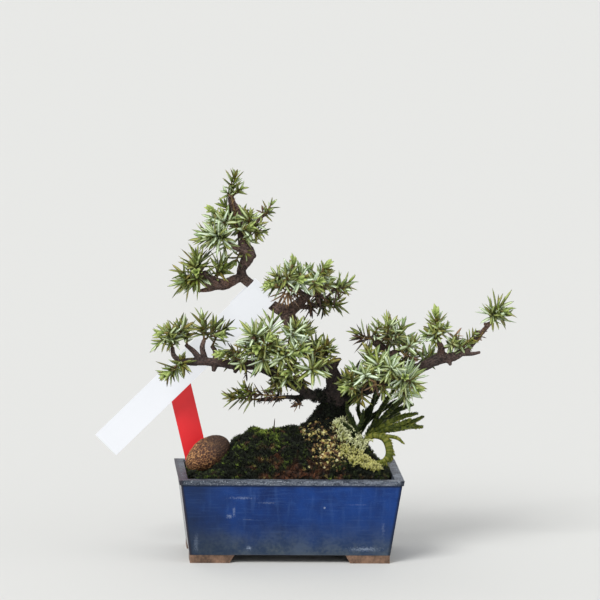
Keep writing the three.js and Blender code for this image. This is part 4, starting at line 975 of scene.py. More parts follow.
def finished_tree(tree, geometry, *finishes):
    """Ends a tree: instances made real, then each material on its selection, or on everything."""
    whole = node(tree, "GeometryNodeRealizeInstances", {"Geometry": geometry}).outputs[0]
    for material, selection in finishes:
        whole = node(tree, "GeometryNodeSetMaterial", {
            "Geometry": whole, "Selection": selection, "Material": material,
        }).outputs[0]
    node(tree, "NodeGroupOutput", {"Geometry": whole})
    return tree


def grown(piece, tree, values):
    """Runs a tree on a piece with its inputs set, and keeps the result as a plain mesh."""
    made = piece.modifiers.new(tree.name, "NODES")
    made.node_group = tree
    for item in tree.interface.items_tree:
        if item.in_out == "INPUT" and item.name in values:
            made[item.identifier] = values[item.name]
    return settled(piece)


def random_value(tree, low, high, seed, kind="FLOAT"):
    made = node(tree, "FunctionNodeRandomValue", data_type=kind)
    values = {"Min": low, "Max": high, "Seed": seed}
    for one in made.inputs:
        if one.enabled and one.name in values:
            plug(tree, one, values[one.name])
    return next(one for one in made.outputs if one.enabled)


def kept(tree, geometry, name, value, kind="FLOAT"):
    """Instances that carry a value under a name."""
    made = node(
        tree, "GeometryNodeStoreNamedAttribute", {"Geometry": geometry, "Name": name},
        data_type=kind, domain="INSTANCE",
    )
    plug(tree, next(one for one in made.inputs if one.enabled and one.name == "Value"), value)
    return made.outputs[0]


def field(tree, name, kind="FLOAT"):
    made = node(tree, "GeometryNodeInputNamedAttribute", {"Name": name}, data_type=kind)
    return next(one for one in made.outputs if one.enabled and one.name == "Attribute")


def whorl_tree():
    """Leaves in whorls along each line, and the stem that carries them.

    The lines' points carry along and side (directions), spin, spread, reach, girth, age,
    shade and stem. A point with no reach bears no leaves."""
    tree, source = spread_tree("Whorled leaves", [
        ("Leaf", "Object", None), ("Leaf width", "Float", 1.5 * MM), ("Per whorl", "Int", 3),
        ("Missing", "Float", 0.06), ("Unevenness", "Float", 0.15), ("Shade spread", "Float", 0.38),
        ("Seed", "Int", 1), ("Leaf finish", "Material", None), ("Stem finish", "Material", None),
    ])
    seeds = [number(tree, "ADD", source["Seed"], k) for k in range(6)]
    rows = node(tree, "GeometryNodeMeshToPoints", {"Mesh": source["Geometry"]}).outputs[0]
    copies = node(
        tree, "GeometryNodeDuplicateElements", {"Geometry": rows, "Amount": source["Per whorl"]},
        domain="POINT",
    ).outputs
    share = number(tree, "DIVIDE", 2 * math.pi, source["Per whorl"])
    less = times(tree, source["Unevenness"], -1)
    jitter = random_value(tree, less, source["Unevenness"], seeds[0])
    turned = number(tree, "MULTIPLY_ADD", copies["Duplicate Index"], share, field(tree, "spin"))
    tangent = field(tree, "along", "FLOAT_VECTOR")
    out = node(tree, "ShaderNodeVectorRotate", {
        "Vector": field(tree, "side", "FLOAT_VECTOR"), "Axis": tangent,
        "Angle": number(tree, "ADD", turned, jitter),
    }).outputs[0]
    wander = random_value(tree, less, source["Unevenness"], seeds[1])
    opening = number(tree, "ADD", field(tree, "spread"), wander)
    forward = arrow(tree, "SCALE", tangent, scale=number(tree, "COSINE", opening))
    aside = arrow(tree, "SCALE", out, scale=number(tree, "SINE", opening))
    turn = node(
        tree, "FunctionNodeAxesToRotation",
        {"Primary Axis": arrow(tree, "ADD", forward, aside), "Secondary Axis": tangent},
        primary_axis="Z", secondary_axis="Y",
    ).outputs[0]
    reach = times(tree, field(tree, "reach"), random_value(tree, 0.78, 1.1, seeds[2]))
    girth = times(tree, source["Leaf width"], field(tree, "girth"))
    width = times(tree, girth, random_value(tree, 0.85, 1.15, seeds[3]))
    size = node(tree, "ShaderNodeCombineXYZ", {0: width, 1: width, 2: reach}).outputs[0]
    stays = node(
        tree, "FunctionNodeCompare", {"A": random_value(tree, 0.0, 1.0, seeds[4]), "B": source["Missing"]},
        operation="GREATER_THAN",
    ).outputs[0]
    bears = node(tree, "FunctionNodeCompare", {"A": reach, "B": 0.0}, operation="GREATER_THAN").outputs[0]
    grows = node(tree, "FunctionNodeBooleanMath", {0: stays, 1: bears}, operation="AND").outputs[0]
    placed = placed_copies(tree, copies["Geometry"], source["Leaf"], turn, size, grows)
    darker = times(tree, source["Shade spread"], -1)
    other = random_value(tree, darker, source["Shade spread"], seeds[5])
    shade = number(tree, "ADD", field(tree, "shade"), other)
    leaves = kept(tree, kept(tree, placed, "shade", shade), "leafy", True, kind="BOOLEAN")
    lines = node(tree, "GeometryNodeMeshToCurve", {"Mesh": source["Geometry"]}).outputs[0]
    ring = node(tree, "GeometryNodeCurvePrimitiveCircle", {"Resolution": 6, "Radius": 1.0}).outputs[0]
    stems = node(tree, "GeometryNodeCurveToMesh", {
        "Curve": lines, "Profile Curve": ring, "Scale": field(tree, "stem"), "Fill Caps": True,
    }).outputs[0]
    both = node(tree, "GeometryNodeJoinGeometry")
    tree.links.new(stems, both.inputs[0])
    tree.links.new(leaves, both.inputs[0])
    leafy = field(tree, "leafy", "BOOLEAN")
    return finished_tree(
        tree, both.outputs[0], (source["Stem finish"], None), (source["Leaf finish"], leafy))


def scatter_tree(name):
    """Small forms scattered over a surface, standing between its normal and straight up.

    The surface's points carry cover, the share of the density that grows there, and tone."""
    tree, source = spread_tree(name, [
        ("Form", "Object", None), ("Density", "Float", 1e6), ("Smallest", "Float", 0.7),
        ("Largest", "Float", 1.2), ("Upright", "Float", 0.4), ("Tone spread", "Float", 0.3),
        ("Seed", "Int", 1), ("Finish", "Material", None),
    ])
    seeds = [number(tree, "ADD", source["Seed"], k) for k in range(4)]
    points = node(tree, "GeometryNodeDistributePointsOnFaces", {
        "Mesh": source["Geometry"], "Density": times(tree, source["Density"], field(tree, "cover")),
        "Seed": seeds[0],
    }, distribute_method="RANDOM").outputs
    slope = arrow(tree, "SCALE", points["Normal"], scale=number(tree, "SUBTRACT", 1, source["Upright"]))
    up = node(tree, "ShaderNodeCombineXYZ", {2: source["Upright"]}).outputs[0]
    lean = random_value(tree, (-0.3, -0.3, -0.3), (0.3, 0.3, 0.3), seeds[0], "FLOAT_VECTOR")
    aim = arrow(tree, "ADD", arrow(tree, "ADD", slope, up), lean)
    stand = node(tree, "FunctionNodeAlignRotationToVector", {"Vector": aim}, axis="Z").outputs[0]
    spin = node(tree, "FunctionNodeAxisAngleToRotation", {
        "Axis": (0, 0, 1), "Angle": random_value(tree, 0.0, 6.283, seeds[1]),
    }).outputs[0]
    turn = node(
        tree, "FunctionNodeRotateRotation", {"Rotation": stand, "Rotate By": spin}, rotation_space="LOCAL",
    ).outputs[0]
    size = random_value(tree, source["Smallest"], source["Largest"], seeds[2])
    placed = placed_copies(tree, points["Points"], source["Form"], turn, size)
    darker = times(tree, source["Tone spread"], -1)
    other = random_value(tree, darker, source["Tone spread"], seeds[3])
    placed = kept(tree, placed, "tone", number(tree, "ADD", field(tree, "tone"), other))
    return finished_tree(tree, placed, (source["Finish"], None))


# Small forms that the trees repeat. They are taken away once they have been used.


def seed_form(name, points, faces, rise=None):
    """A form to repeat, whose points carry rise, 0 at the foot and 1 at the tip."""
    form = new_piece(name, points, faces)
    if rise is not None:
        store(form.data, rise=rise)
    form.hide_render = True
    smooth(form)
    return form


def take_away(*forms):
    for form in forms:
        mesh = form.data
        bpy.data.objects.remove(form)
        bpy.data.meshes.remove(mesh)


def needle_form():
    """A pointed needle along Z, one wide and one long, its grooved inner face towards Y."""
    stations = [(0, 0.5), (0.12, 0.86), (0.42, 1), (0.76, 0.72)]  # how far up, and the width there
    points, faces, uvs = [], [], []
    for t, w in stations:
        bend = -0.35 * t * t
        points += [
            (-0.5 * w, 0.08 * w + bend, t), (0, -0.03 * w + bend, t),
            (0.5 * w, 0.08 * w + bend, t), (0, -0.36 * w + bend, t),
        ]
    points.append((0, -0.42, 1))
    tip = len(points) - 1
    columns = (0.0, 0.25, 0.5, 0.75, 1.0)
    for i in range(len(stations)):
        low = stations[i][0]
        high = stations[i + 1][0] if i + 1 < len(stations) else 1
        for k in range(4):
            a, b = 4 * i + k, 4 * i + (k + 1) % 4
            left, right = columns[k], columns[k + 1]
            if i + 1 < len(stations):
                faces.append((b, a, a + 4, b + 4))
                uvs += [(right, low), (left, low), (left, high), (right, high)]
            else:
                faces.append((b, a, tip))
                uvs += [(right, low), (left, low), ((left + right) / 2, high)]
    faces.append((0, 1, 2, 3))
    uvs += [(0.6, 0)] * 4
    form = seed_form("needle_form", points, faces)
    layer = form.data.uv_layers.new(name="UVMap")
    layer.data.foreach_set("uv", np.array(uvs).ravel())
    return form


def scale_leaf_form():
    """A flat pointed leaf along Z with a raised middle."""
    points = [
        (0, 0, 0), (-0.42, 0.0, 0.3), (0.42, 0.0, 0.3), (0, 0.16, 0.4), (0, -0.1, 0.4),
        (-0.34, 0.02, 0.8), (0.34, 0.02, 0.8), (0, 0.06, 1),
    ]
    faces = [
        (0, 3, 1), (0, 2, 3), (1, 3, 5), (3, 2, 6), (5, 3, 7), (3, 6, 7),
        (0, 1, 4), (0, 4, 2), (1, 5, 4), (4, 6, 2), (5, 7, 4), (4, 7, 6),
    ]
    return seed_form("scale_leaf_form", points, faces, [p[2] for p in points])


def moss_form(seed):
    """One moss shoot: a few thin leaves that lean out from a point."""
    draw = random.Random(seed)
    points, faces, rise = [], [], []
    for k in range(6):
        turn = 2 * math.pi * k / 6 + draw.uniform(-0.4, 0.4)
        lean = 0.15 if k == 0 else draw.uniform(0.35, 0.75)
        length = draw.uniform(0.75, 1.1) * (1.15 if k == 0 else 1)
        out = np.array((math.cos(turn), math.sin(turn), 0))
        across = np.array((-math.sin(turn), math.cos(turn), 0)) * 0.13
        middle = out * lean * 0.4 * length + np.array((0, 0, length * 0.6))
        tip = out * lean * length + np.array((0, 0, length))
        start = len(points)
        points += [out * 0.03, middle - across, middle + across, tip]
        faces += [(start, start + 2, start + 1), (start + 1, start + 2, start + 3)]
        rise += [0, 0.6, 0.6, 1]
    return seed_form(f"moss_form_{seed}", points, faces, rise)


def lobe_form(seed, forks):
    """A lichen lobe: a flattened stalk that forks into blunt points."""
    draw = random.Random(seed)
    points, faces, rise = [], [], []

    def grow(foot, aim, width, length, left):
        aim = unit(aim)
        across = unit(np.cross(aim, (math.sin(seed), math.cos(seed), 0.2)))
        thick = np.cross(across, aim) * 0.35
        top = foot + aim * length
        start = len(points)
        for place, share in ((foot, 1), (foot + aim * length * 0.6, 1.25), (top, 0.7 if left else 0.25)):
            for x, y in ((-1, 0), (0, 1), (1, 0), (0, -1)):
                points.append(place + across * x * width * share + thick * y * width * share)
                rise.append(clamp(place[2]))
        for ring in (start, start + 4):
            for k in range(4):
                a, b = ring + k, ring + (k + 1) % 4
                faces.append((b, a, a + 4, b + 4))
        faces.append((start, start + 1, start + 2, start + 3))
        faces.append((start + 11, start + 10, start + 9, start + 8))
        if left:
            for side in (-1, 1):
                turned = aim + across * side * draw.uniform(0.5, 0.9) + thick * draw.uniform(-1, 1)
                grow(top - aim * 0.04, turned, width * 0.72, length * draw.uniform(0.6, 0.8), left - 1)

    grow(np.array((0.0, 0.0, 0.0)), np.array((0.1, 0.0, 1.0)), 0.12, 0.45, forks)
    return seed_form(f"lobe_form_{seed}", points, faces, rise)


def crumb_form(seed, flat=1.0):
    """A crumb with an uneven outline."""
    draw = random.Random(seed)
    form = bmesh.new()
    bmesh.ops.create_icosphere(form, subdivisions=1, radius=0.5)
    for vert in form.verts:
        vert.co *= draw.uniform(0.7, 1.15)
        vert.co.z *= flat
    name = f"crumb_form_{seed}"
    made = new_object(name, mesh_from(form, name))
    store(made.data, rise=0.8)
    made.hide_render = True
    return made


# Shoots: lines with a direction, a side and leaf sizes at every point


def tag_gap(place):
    """How far a place is from the sheet of the white tag, in millimetres."""
    off = place - TAG_FOLD
    run = min(TAG_LENGTH, max(0, off @ TAG_ALONG))
    aside = min(TAG_HALF_WIDTH, max(-TAG_HALF_WIDTH, off @ TAG_ACROSS))
    nearest = TAG_FOLD + TAG_ALONG * run + TAG_ACROSS * aside
    nearest[1] += TAG_LEAN * run / TAG_LENGTH
    return np.linalg.norm(place - nearest)


class Shoots:
    """Lines being collected for one piece, and the values that their points carry."""

    FIELDS = ("spin", "spread", "reach", "girth", "age", "shade", "stem")
    SHORTEST = 2.5  # millimetres of a needle that the white tag keeps short

    def __init__(self, seed):
        self.draw = random.Random(seed)
        self.points, self.edges, self.along, self.side = [], [], [], []
        self.values = {name: [] for name in self.FIELDS}

    def add_line(self, line, sides, values):
        """line: places; sides: a side direction for each; values: a row of FIELDS for each."""
        start = len(self.points)
        self.points += [tuple(p) for p in line]
        self.edges += [(start + i, start + i + 1) for i in range(len(line) - 1)]
        self.along += [tuple(t) for t in tangents_along(line)]
        self.side += [tuple(s) for s in sides]
        for row in values:
            for name, value in zip(self.FIELDS, row):
                self.values[name].append(value)

    def add_shoot(self, path, reach, clothed, pitch=1.5, girth=1.0, age=0.5, shade=0.5, stem=0.75,
                  low=1.35, high=0.6):
        """A shoot along path, in millimetres, with whorls of needles on the length that ends at
        its tip. low and high are the needles' angles to it at the foot and at the tip."""
        draw = self.draw
        line = smooth_line([(*place, 0) for place in path], 12)[:, :3]
        reach = min(reach, max(self.SHORTEST, 0.95 * tag_gap(line[-1])))
        count = max(3, int(run_along(line)[-1] / pitch) + 1)
        even, places = evened(line, count)
        end = places[-1]
        sides, _ = frames_along(even)
        turn = draw.uniform(0, 1.05)
        values = []
        for i, place in enumerate(places):
            t = max(0, 1 - (end - place) / clothed)
            opening = low + (high - low) * t ** 0.8 + draw.uniform(-0.06, 0.06)
            grows = reach * MM * (0.85 + 0.15 * min(1, 3 * t)) if t > 0 else 0
            if i == count - 1:
                opening, grows = 0.4, grows * 0.75
            values.append((
                turn + i * math.pi / 3, opening, grows, girth, age, shade + draw.uniform(-0.1, 0.1),
                stem * (1 - 0.4 * place / end) * MM,
            ))
        self.add_line(even, sides, values)

    def piece(self, name, tree, settings):
        """One plain mesh of leaves and stems."""
        made = new_piece(name, [at(*p) for p in self.points], edges=self.edges)
        store(made.data, **self.values, along=self.along, side=self.side)
        grown(made, tree, settings)
        for key in ("along", "side", "spin", "spread", "reach", "girth", "stem", "leafy"):
            if key in made.data.attributes:
                made.data.attributes.remove(made.data.attributes[key])
        return made


# Settings


def colour_setting(name, description, red, green, blue):
    return bpy.props.FloatVectorProperty(
        name=name, description=description, subtype="COLOR", size=4, min=0, max=1,
        default=rgb(red, green, blue),
    )


def length_setting(name, description, metres):
    return bpy.props.FloatProperty(
        name=name, description=description, default=metres, min=0, unit="LENGTH", precision=4)


def amount_setting(name, description, default, **limits):
    return bpy.props.FloatProperty(name=name, description=description, default=default, min=0, **limits)


def seed_setting(default):
    return bpy.props.IntProperty(name="Seed", description="Changes the random arrangement", default=default)


class BonsaiStageSettings(bpy.types.PropertyGroup):
    lens: bpy.props.FloatProperty(
        name="Lens", description="Focal length of the camera in millimetres", default=300)
    backdrop: colour_setting("Backdrop", "Colour of the floor", 208, 208, 205)
    daylight: amount_setting("Daylight", "Strength of the even light from all round", 0.62)
    key_light: amount_setting("Key light", "Strength of the soft sun from the upper left", 2.3)
    fill_light: amount_setting("Fill light", "Strength of the soft suns around it", 0.4)


class BonsaiPotSettings(bpy.types.PropertyGroup):
    edge: length_setting("Edge", "Rounding of the pot's edges", 0.9 * MM)
    glaze: colour_setting("Glaze", "Cobalt of the glaze", 20, 62, 132)
    glaze_dark: colour_setting("Dark glaze", "Where the glaze is thick", 12, 36, 84)
    glaze_pale: colour_setting("Pale glaze", "Streaks and specks in the glaze", 60, 92, 148)
    crumbs: amount_setting("Crumbs", "Soil crumbs for each square metre", 1.1e6)
    seed: seed_setting(4)


class BonsaiWoodSettings(bpy.types.PropertyGroup):
    voxel: length_setting("Fineness", "Size of the cells that the bark is worked in", 0.5 * MM)
    relief: amount_setting("Relief", "Depth of the bark's cracks as a share of the radius", 0.15, max=0.5)
    bark: colour_setting("Bark", "Colour of the bark's plates", 116, 92, 83)
    bark_dark: colour_setting("Dark bark", "Shaded plates", 54, 40, 37)
    bark_red: colour_setting("Red bark", "Freshly peeled patches", 112, 76, 60)
    bark_grey: colour_setting("Grey flecks", "Weathered flecks", 156, 140, 131)


class BonsaiNeedleSettings(bpy.types.PropertyGroup):
    width: length_setting("Width", "Width of a needle at its broadest", 1.9 * MM)
    per_whorl: bpy.props.IntProperty(
        name="Per whorl", description="Needles that stand round the shoot together", default=3, min=1)
    missing: amount_setting("Missing", "Share of the needles that have fallen", 0.13, max=1)
    side_shoots: bpy.props.IntProperty(
        name="Side shoots", description="Short shoots on each main shoot", default=2, min=0)
    needle: colour_setting("Needle", "Outer face of a needle", 92, 108, 42)
    needle_dark: colour_setting("Dark needle", "Outer face of a shaded needle", 30, 36, 18)
    needle_light: colour_setting("Light needle", "Outer face of a bloomy needle", 146, 168, 120)
    needle_band: colour_setting("Band", "Bloom on the inner face", 202, 216, 168)
    needle_dead: colour_setting("Dead needle", "Needles that have dried", 96, 70, 56)
    bud: colour_setting("Bud", "Foot of a new leaf", 112, 132, 66)
    bud_tip: colour_setting("Bud tip", "Tip of a new leaf", 178, 194, 112)
    seed: seed_setting(7)


class BonsaiMossSettings(bpy.types.PropertyGroup):
    voxel: length_setting("Fineness", "Size of the cells that the mat is worked in", 0.9 * MM)
    clump: length_setting("Clumps", "Height of the unevenness of the mat", 1.7 * MM)
    shoot: length_setting("Shoot", "Height of a moss shoot", 2.3 * MM)
    density: amount_setting("Density", "Moss shoots for each square metre", 1.25e6)
    litter: amount_setting("Litter", "Crumbs for each square metre where they are thickest", 1.6e6)
    moss: colour_setting("Moss", "Tip of a moss leaf", 36, 47, 20)
    moss_deep: colour_setting("Deep moss", "Foot of a moss leaf", 9, 12, 5)
    moss_bright: colour_setting("Bright moss", "Fresh tips", 118, 142, 48)
    seed: seed_setting(21)


class BonsaiLichenSettings(bpy.types.PropertyGroup):
    grey_lobe: length_setting("Grey lobe", "Height of a lobe of the grey lichen", 6.5 * MM)
    yellow_lobe: length_setting("Yellow lobe", "Height of a lobe of the yellow lichen", 4.6 * MM)
    grey_density: amount_setting("Grey lobes", "Lobes for each square metre of the grey lichen", 5.5e5)
    yellow_density: amount_setting("Yellow lobes", "Lobes for each square metre of the yellow lichen", 8e5)
    seed: seed_setting(31)


class BonsaiFrondSettings(bpy.types.PropertyGroup):
    leaf: length_setting("Leaf", "Length of a scale leaf for each millimetre of half width", 2.2 * MM)
    leaf_width: length_setting("Leaf width", "Width of a scale leaf", 1.8 * MM)
    pitch: bpy.props.FloatProperty(
        name="Pitch", description="Millimetres from one pair of leaves to the next", default=0.6, min=0.3)
    frond: colour_setting("Frond", "Main green of the fronds", 52, 66, 26)
    seed: seed_setting(41)


class BonsaiStoneSettings(bpy.types.PropertyGroup):
    pits: length_setting("Pits", "Depth of the pits in the shell", 0.45 * MM)


class BonsaiLabelSettings(bpy.types.PropertyGroup):
    red: colour_setting("Red", "The stake's plastic", 232, 34, 40)
    white: colour_setting("White", "The tag's plastic", 130, 132, 137)
    edge: length_setting("Edge", "Rounding of the cut edges", 0.15 * MM)


# Operators


class BONSAI_OT_stage(bpy.types.Operator):
    """Set up the camera, the light and the floor"""

    bl_idname = "bonsai.stage"
    bl_label = "Stage"

    PLACE = (-197.7, -2987.4, 606.7)  # millimetres from the middle of the pot's underside
    YAW, TILT, ROLL = math.radians(3.89), math.radians(8.55), math.radians(0.96)
    SENSOR = 36  # width in millimetres
    FAR, FLOOR_HALF = 100, 20  # the camera's reach and half the floor's side, in metres

    def execute(self, context):
        settings = context.scene.bonsai_stage
        scene = context.scene
        ahead = Vector((
            math.sin(self.YAW) * math.cos(self.TILT), math.cos(self.YAW) * math.cos(self.TILT),
            -math.sin(self.TILT),
        ))
        right = Vector((math.cos(self.YAW), -math.sin(self.YAW), 0))
        up = right.cross(ahead)
        tilted = right * math.cos(self.ROLL) + up * math.sin(self.ROLL)
        over = up * math.cos(self.ROLL) - right * math.sin(self.ROLL)
        lens = bpy.data.cameras.new("photo_camera")
        lens.lens = settings.lens
        lens.sensor_width = self.SENSOR
        lens.clip_end = self.FAR
        camera = bpy.data.objects.new("photo_camera", lens)
        scene.collection.objects.link(camera)
        turn = Matrix((tilted, over, -ahead)).transposed()
        camera.matrix_world = Matrix.Translation(at(*self.PLACE)) @ turn.to_4x4()
        scene.camera = camera
        half = self.FLOOR_HALF
        corners = ((-half, -half, 0), (half, -half, 0), (half, half, 0), (-half, half, 0))
        floor = new_piece("floor", corners, [(0, 1, 2, 3)])
        floor.data.materials.append(floor_material(settings))
        floor.location.z = CAD_BOX[0][2]
        world = bpy.data.worlds.new("daylight")
        world.use_nodes = True
        sky = world.node_tree.nodes["Background"]
        sky.inputs["Color"].default_value = (0.97, 0.98, 1, 1)
        sky.inputs["Strength"].default_value = settings.daylight
        scene.world = world
        suns = (  # name, strength, width of the disc and turn in degrees
            ("key", settings.key_light, 26, (48, 0, -38)),
            ("front", settings.fill_light, 60, (68, 0, -4)),
            ("side", settings.fill_light, 60, (60, 0, 65)),
            ("back", settings.fill_light, 60, (55, 0, 190)),
        )
        for name, strength, size, turned in suns:
            light = bpy.data.lights.new(name + "_sun", "SUN")
            light.energy = strength
            light.angle = math.radians(size)
            lamp = bpy.data.objects.new(light.name, light)
            lamp.rotation_euler = [math.radians(a) for a in turned]
            scene.collection.objects.link(lamp)
        scene.view_settings.view_transform = "Standard"
        return {"FINISHED"}


class BONSAI_OT_pot(bpy.types.Operator):
    """Glaze the pot and crumble the soil along its wall"""

    bl_idname = "bonsai.pot"
    bl_label = "Pot and soil"

    MOSS_HALF, WALL_HALF = (57, 26), (61, 30)  # half sizes of the moss mound and of the wall's inside

    def execute(self, context):
        settings = context.scene.bonsai_pot
        pot = softened("pot", "glazed_pot", settings.edge, 3)
        dress(pot, glaze(settings), "glaze", "pot")
        soil, black = soil_material(), mesh_material()
        for name, material in (("soil", soil), ("drain_mesh_left", black), ("drain_mesh_right", black)):
            coat_with(material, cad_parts[name])
        crumbs = self.soil_strip()
        store(crumbs.data, cover=1, tone=0.4)
        crumb = crumb_form(3)
        grown(crumbs, scatter_tree("Soil crumbs"), {
            "Form": crumb, "Density": settings.crumbs, "Smallest": 0.6 * MM, "Largest": 1.9 * MM,
            "Upright": 0.0, "Tone spread": 0.5, "Seed": settings.seed, "Finish": soil,
        })
        take_away(crumb)
        dress(crumbs, None, "soil")
        return {"FINISHED"}

    def soil_strip(self):
        """The surface of the soil between the moss and the wall."""
        points, faces = [], []
        steps = 120
        for i in range(steps):
            angle = 2 * math.pi * i / steps
            x, y = math.cos(angle), math.sin(angle)
            for (length, depth), power in ((self.MOSS_HALF, 5), (self.WALL_HALF, 16)):
                reach = 1 / ((abs(x) / length) ** power + (abs(y) / depth) ** power) ** (1 / power)
                points.append(at(x * reach, y * reach, SOIL_TOP))
            a, b = 2 * i, 2 * ((i + 1) % steps)
            faces.append((a, a + 1, b + 1, b))
        return new_piece("soil_crumbs", points, faces)


class BONSAI_OT_wood(bpy.types.Operator):
    """Grow the trunk and branches and crack their bark"""

    bl_idname = "bonsai.wood"
    bl_label = "Wood"

    RIDGE, FAINT_RIDGE = 0.09, 0.03  # winding ridges of thick and thin limbs, as a share of the radius
    THICK = 2.2  # the radius that makes a limb a thick one
    PITCH = 7  # how fast the ridges turn, in millimetres for each radian
    CRACKS = ((0.13, 0.6), (0.3, 1.4))  # long and fine ones: how often they come along and across
    ALGAE_SOLID, ALGAE_TOP = 92, 106  # heights up to which algae cover the bark wholly and in patches

    def execute(self, context):
        settings = context.scene.bonsai_wood
        parts, samples = [], []
        for points in [TRUNK, *TWIGS, *SPURS]:
            line = smooth_line(points, 8)
            along = run_along(line)
            ridged = self.RIDGE if max(p[3] for p in points) > self.THICK else self.FAINT_RIDGE

            def shape(i, angle, along=along, ridged=ridged):
                turn = along[i] / self.PITCH
                waves = math.sin(3 * angle + turn) + 0.5 * math.sin(2 * angle - 2 * turn)
                return 0.96 * (1 + ridged * waves)

            parts.append(tube(line, 24 if points is TRUNK else 12, shape))
            samples += zip(line, along, *frames_along(line))
        points, faces = joined(parts)
        wood = remeshed(new_piece("bark_wood", [at(*p) for p in points], faces), settings.voxel)
        self.crack(wood.data, samples, settings.relief)
        smooth(wood)
        dress(wood, bark(settings), "bark", "wood")
        return {"FINISHED"}

    def crack(self, mesh, samples, relief):
        """Works plates and cracks that run along each limb into the surface."""
        tree = KDTree(len(samples))
        for i, (sample, *_) in enumerate(samples):
            tree.insert(at(*sample[:3]), i)
        tree.balance()
        points, normals = points_of(mesh), normals_of(mesh)
        cracks, mossy = np.zeros(len(points)), np.zeros(len(points))
        for k, point in enumerate(points):
            _, i, _ = tree.find(point)
            sample, along, across, over = samples[i]
            radius = sample[3]
            off = (point - np.array(at(*sample[:3]))) / MM
            x, y = off @ across, off @ over
            run = along + off @ np.cross(across, over)
            scale = 1.6 / max(radius, 1.2) ** 0.4  # finer bark on thinner limbs
            long, fine = (noise.noise(Vector((run * a, x * b, y * b)) * scale) for a, b in self.CRACKS)
            crack = max(0, 1 - abs(long) / 0.13, 0.75 * (1 - abs(fine) / 0.16))
            flake = noise.fractal(Vector((run * 0.45, x * 1.2, y * 1.2)) * scale, 0.8, 2, 3)
            knob = noise.noise(Vector(point) * 110)
            deep = min(relief * radius * (1 if radius > 2 else 0.6), 1.2)
            lift = 0.15 + flake * 0.5 + knob * 0.7 - crack * 0.7
            points[k] += normals[k] * lift * deep * MM
            cracks[k] = min(1, crack * 0.85 + max(0, -flake) * 0.4)
            height = point[2] / MM + 9 * noise.noise(Vector(point) * 90)
            patch = noise.noise(Vector(point) * 240) + 0.4
            below_top = clamp((self.ALGAE_TOP - height) / 10)
            mossy[k] = below_top * clamp(patch * 2 + (self.ALGAE_SOLID - height) / 14)
        set_points(mesh, points)
        store(mesh, crack=cracks, mossy=mossy)


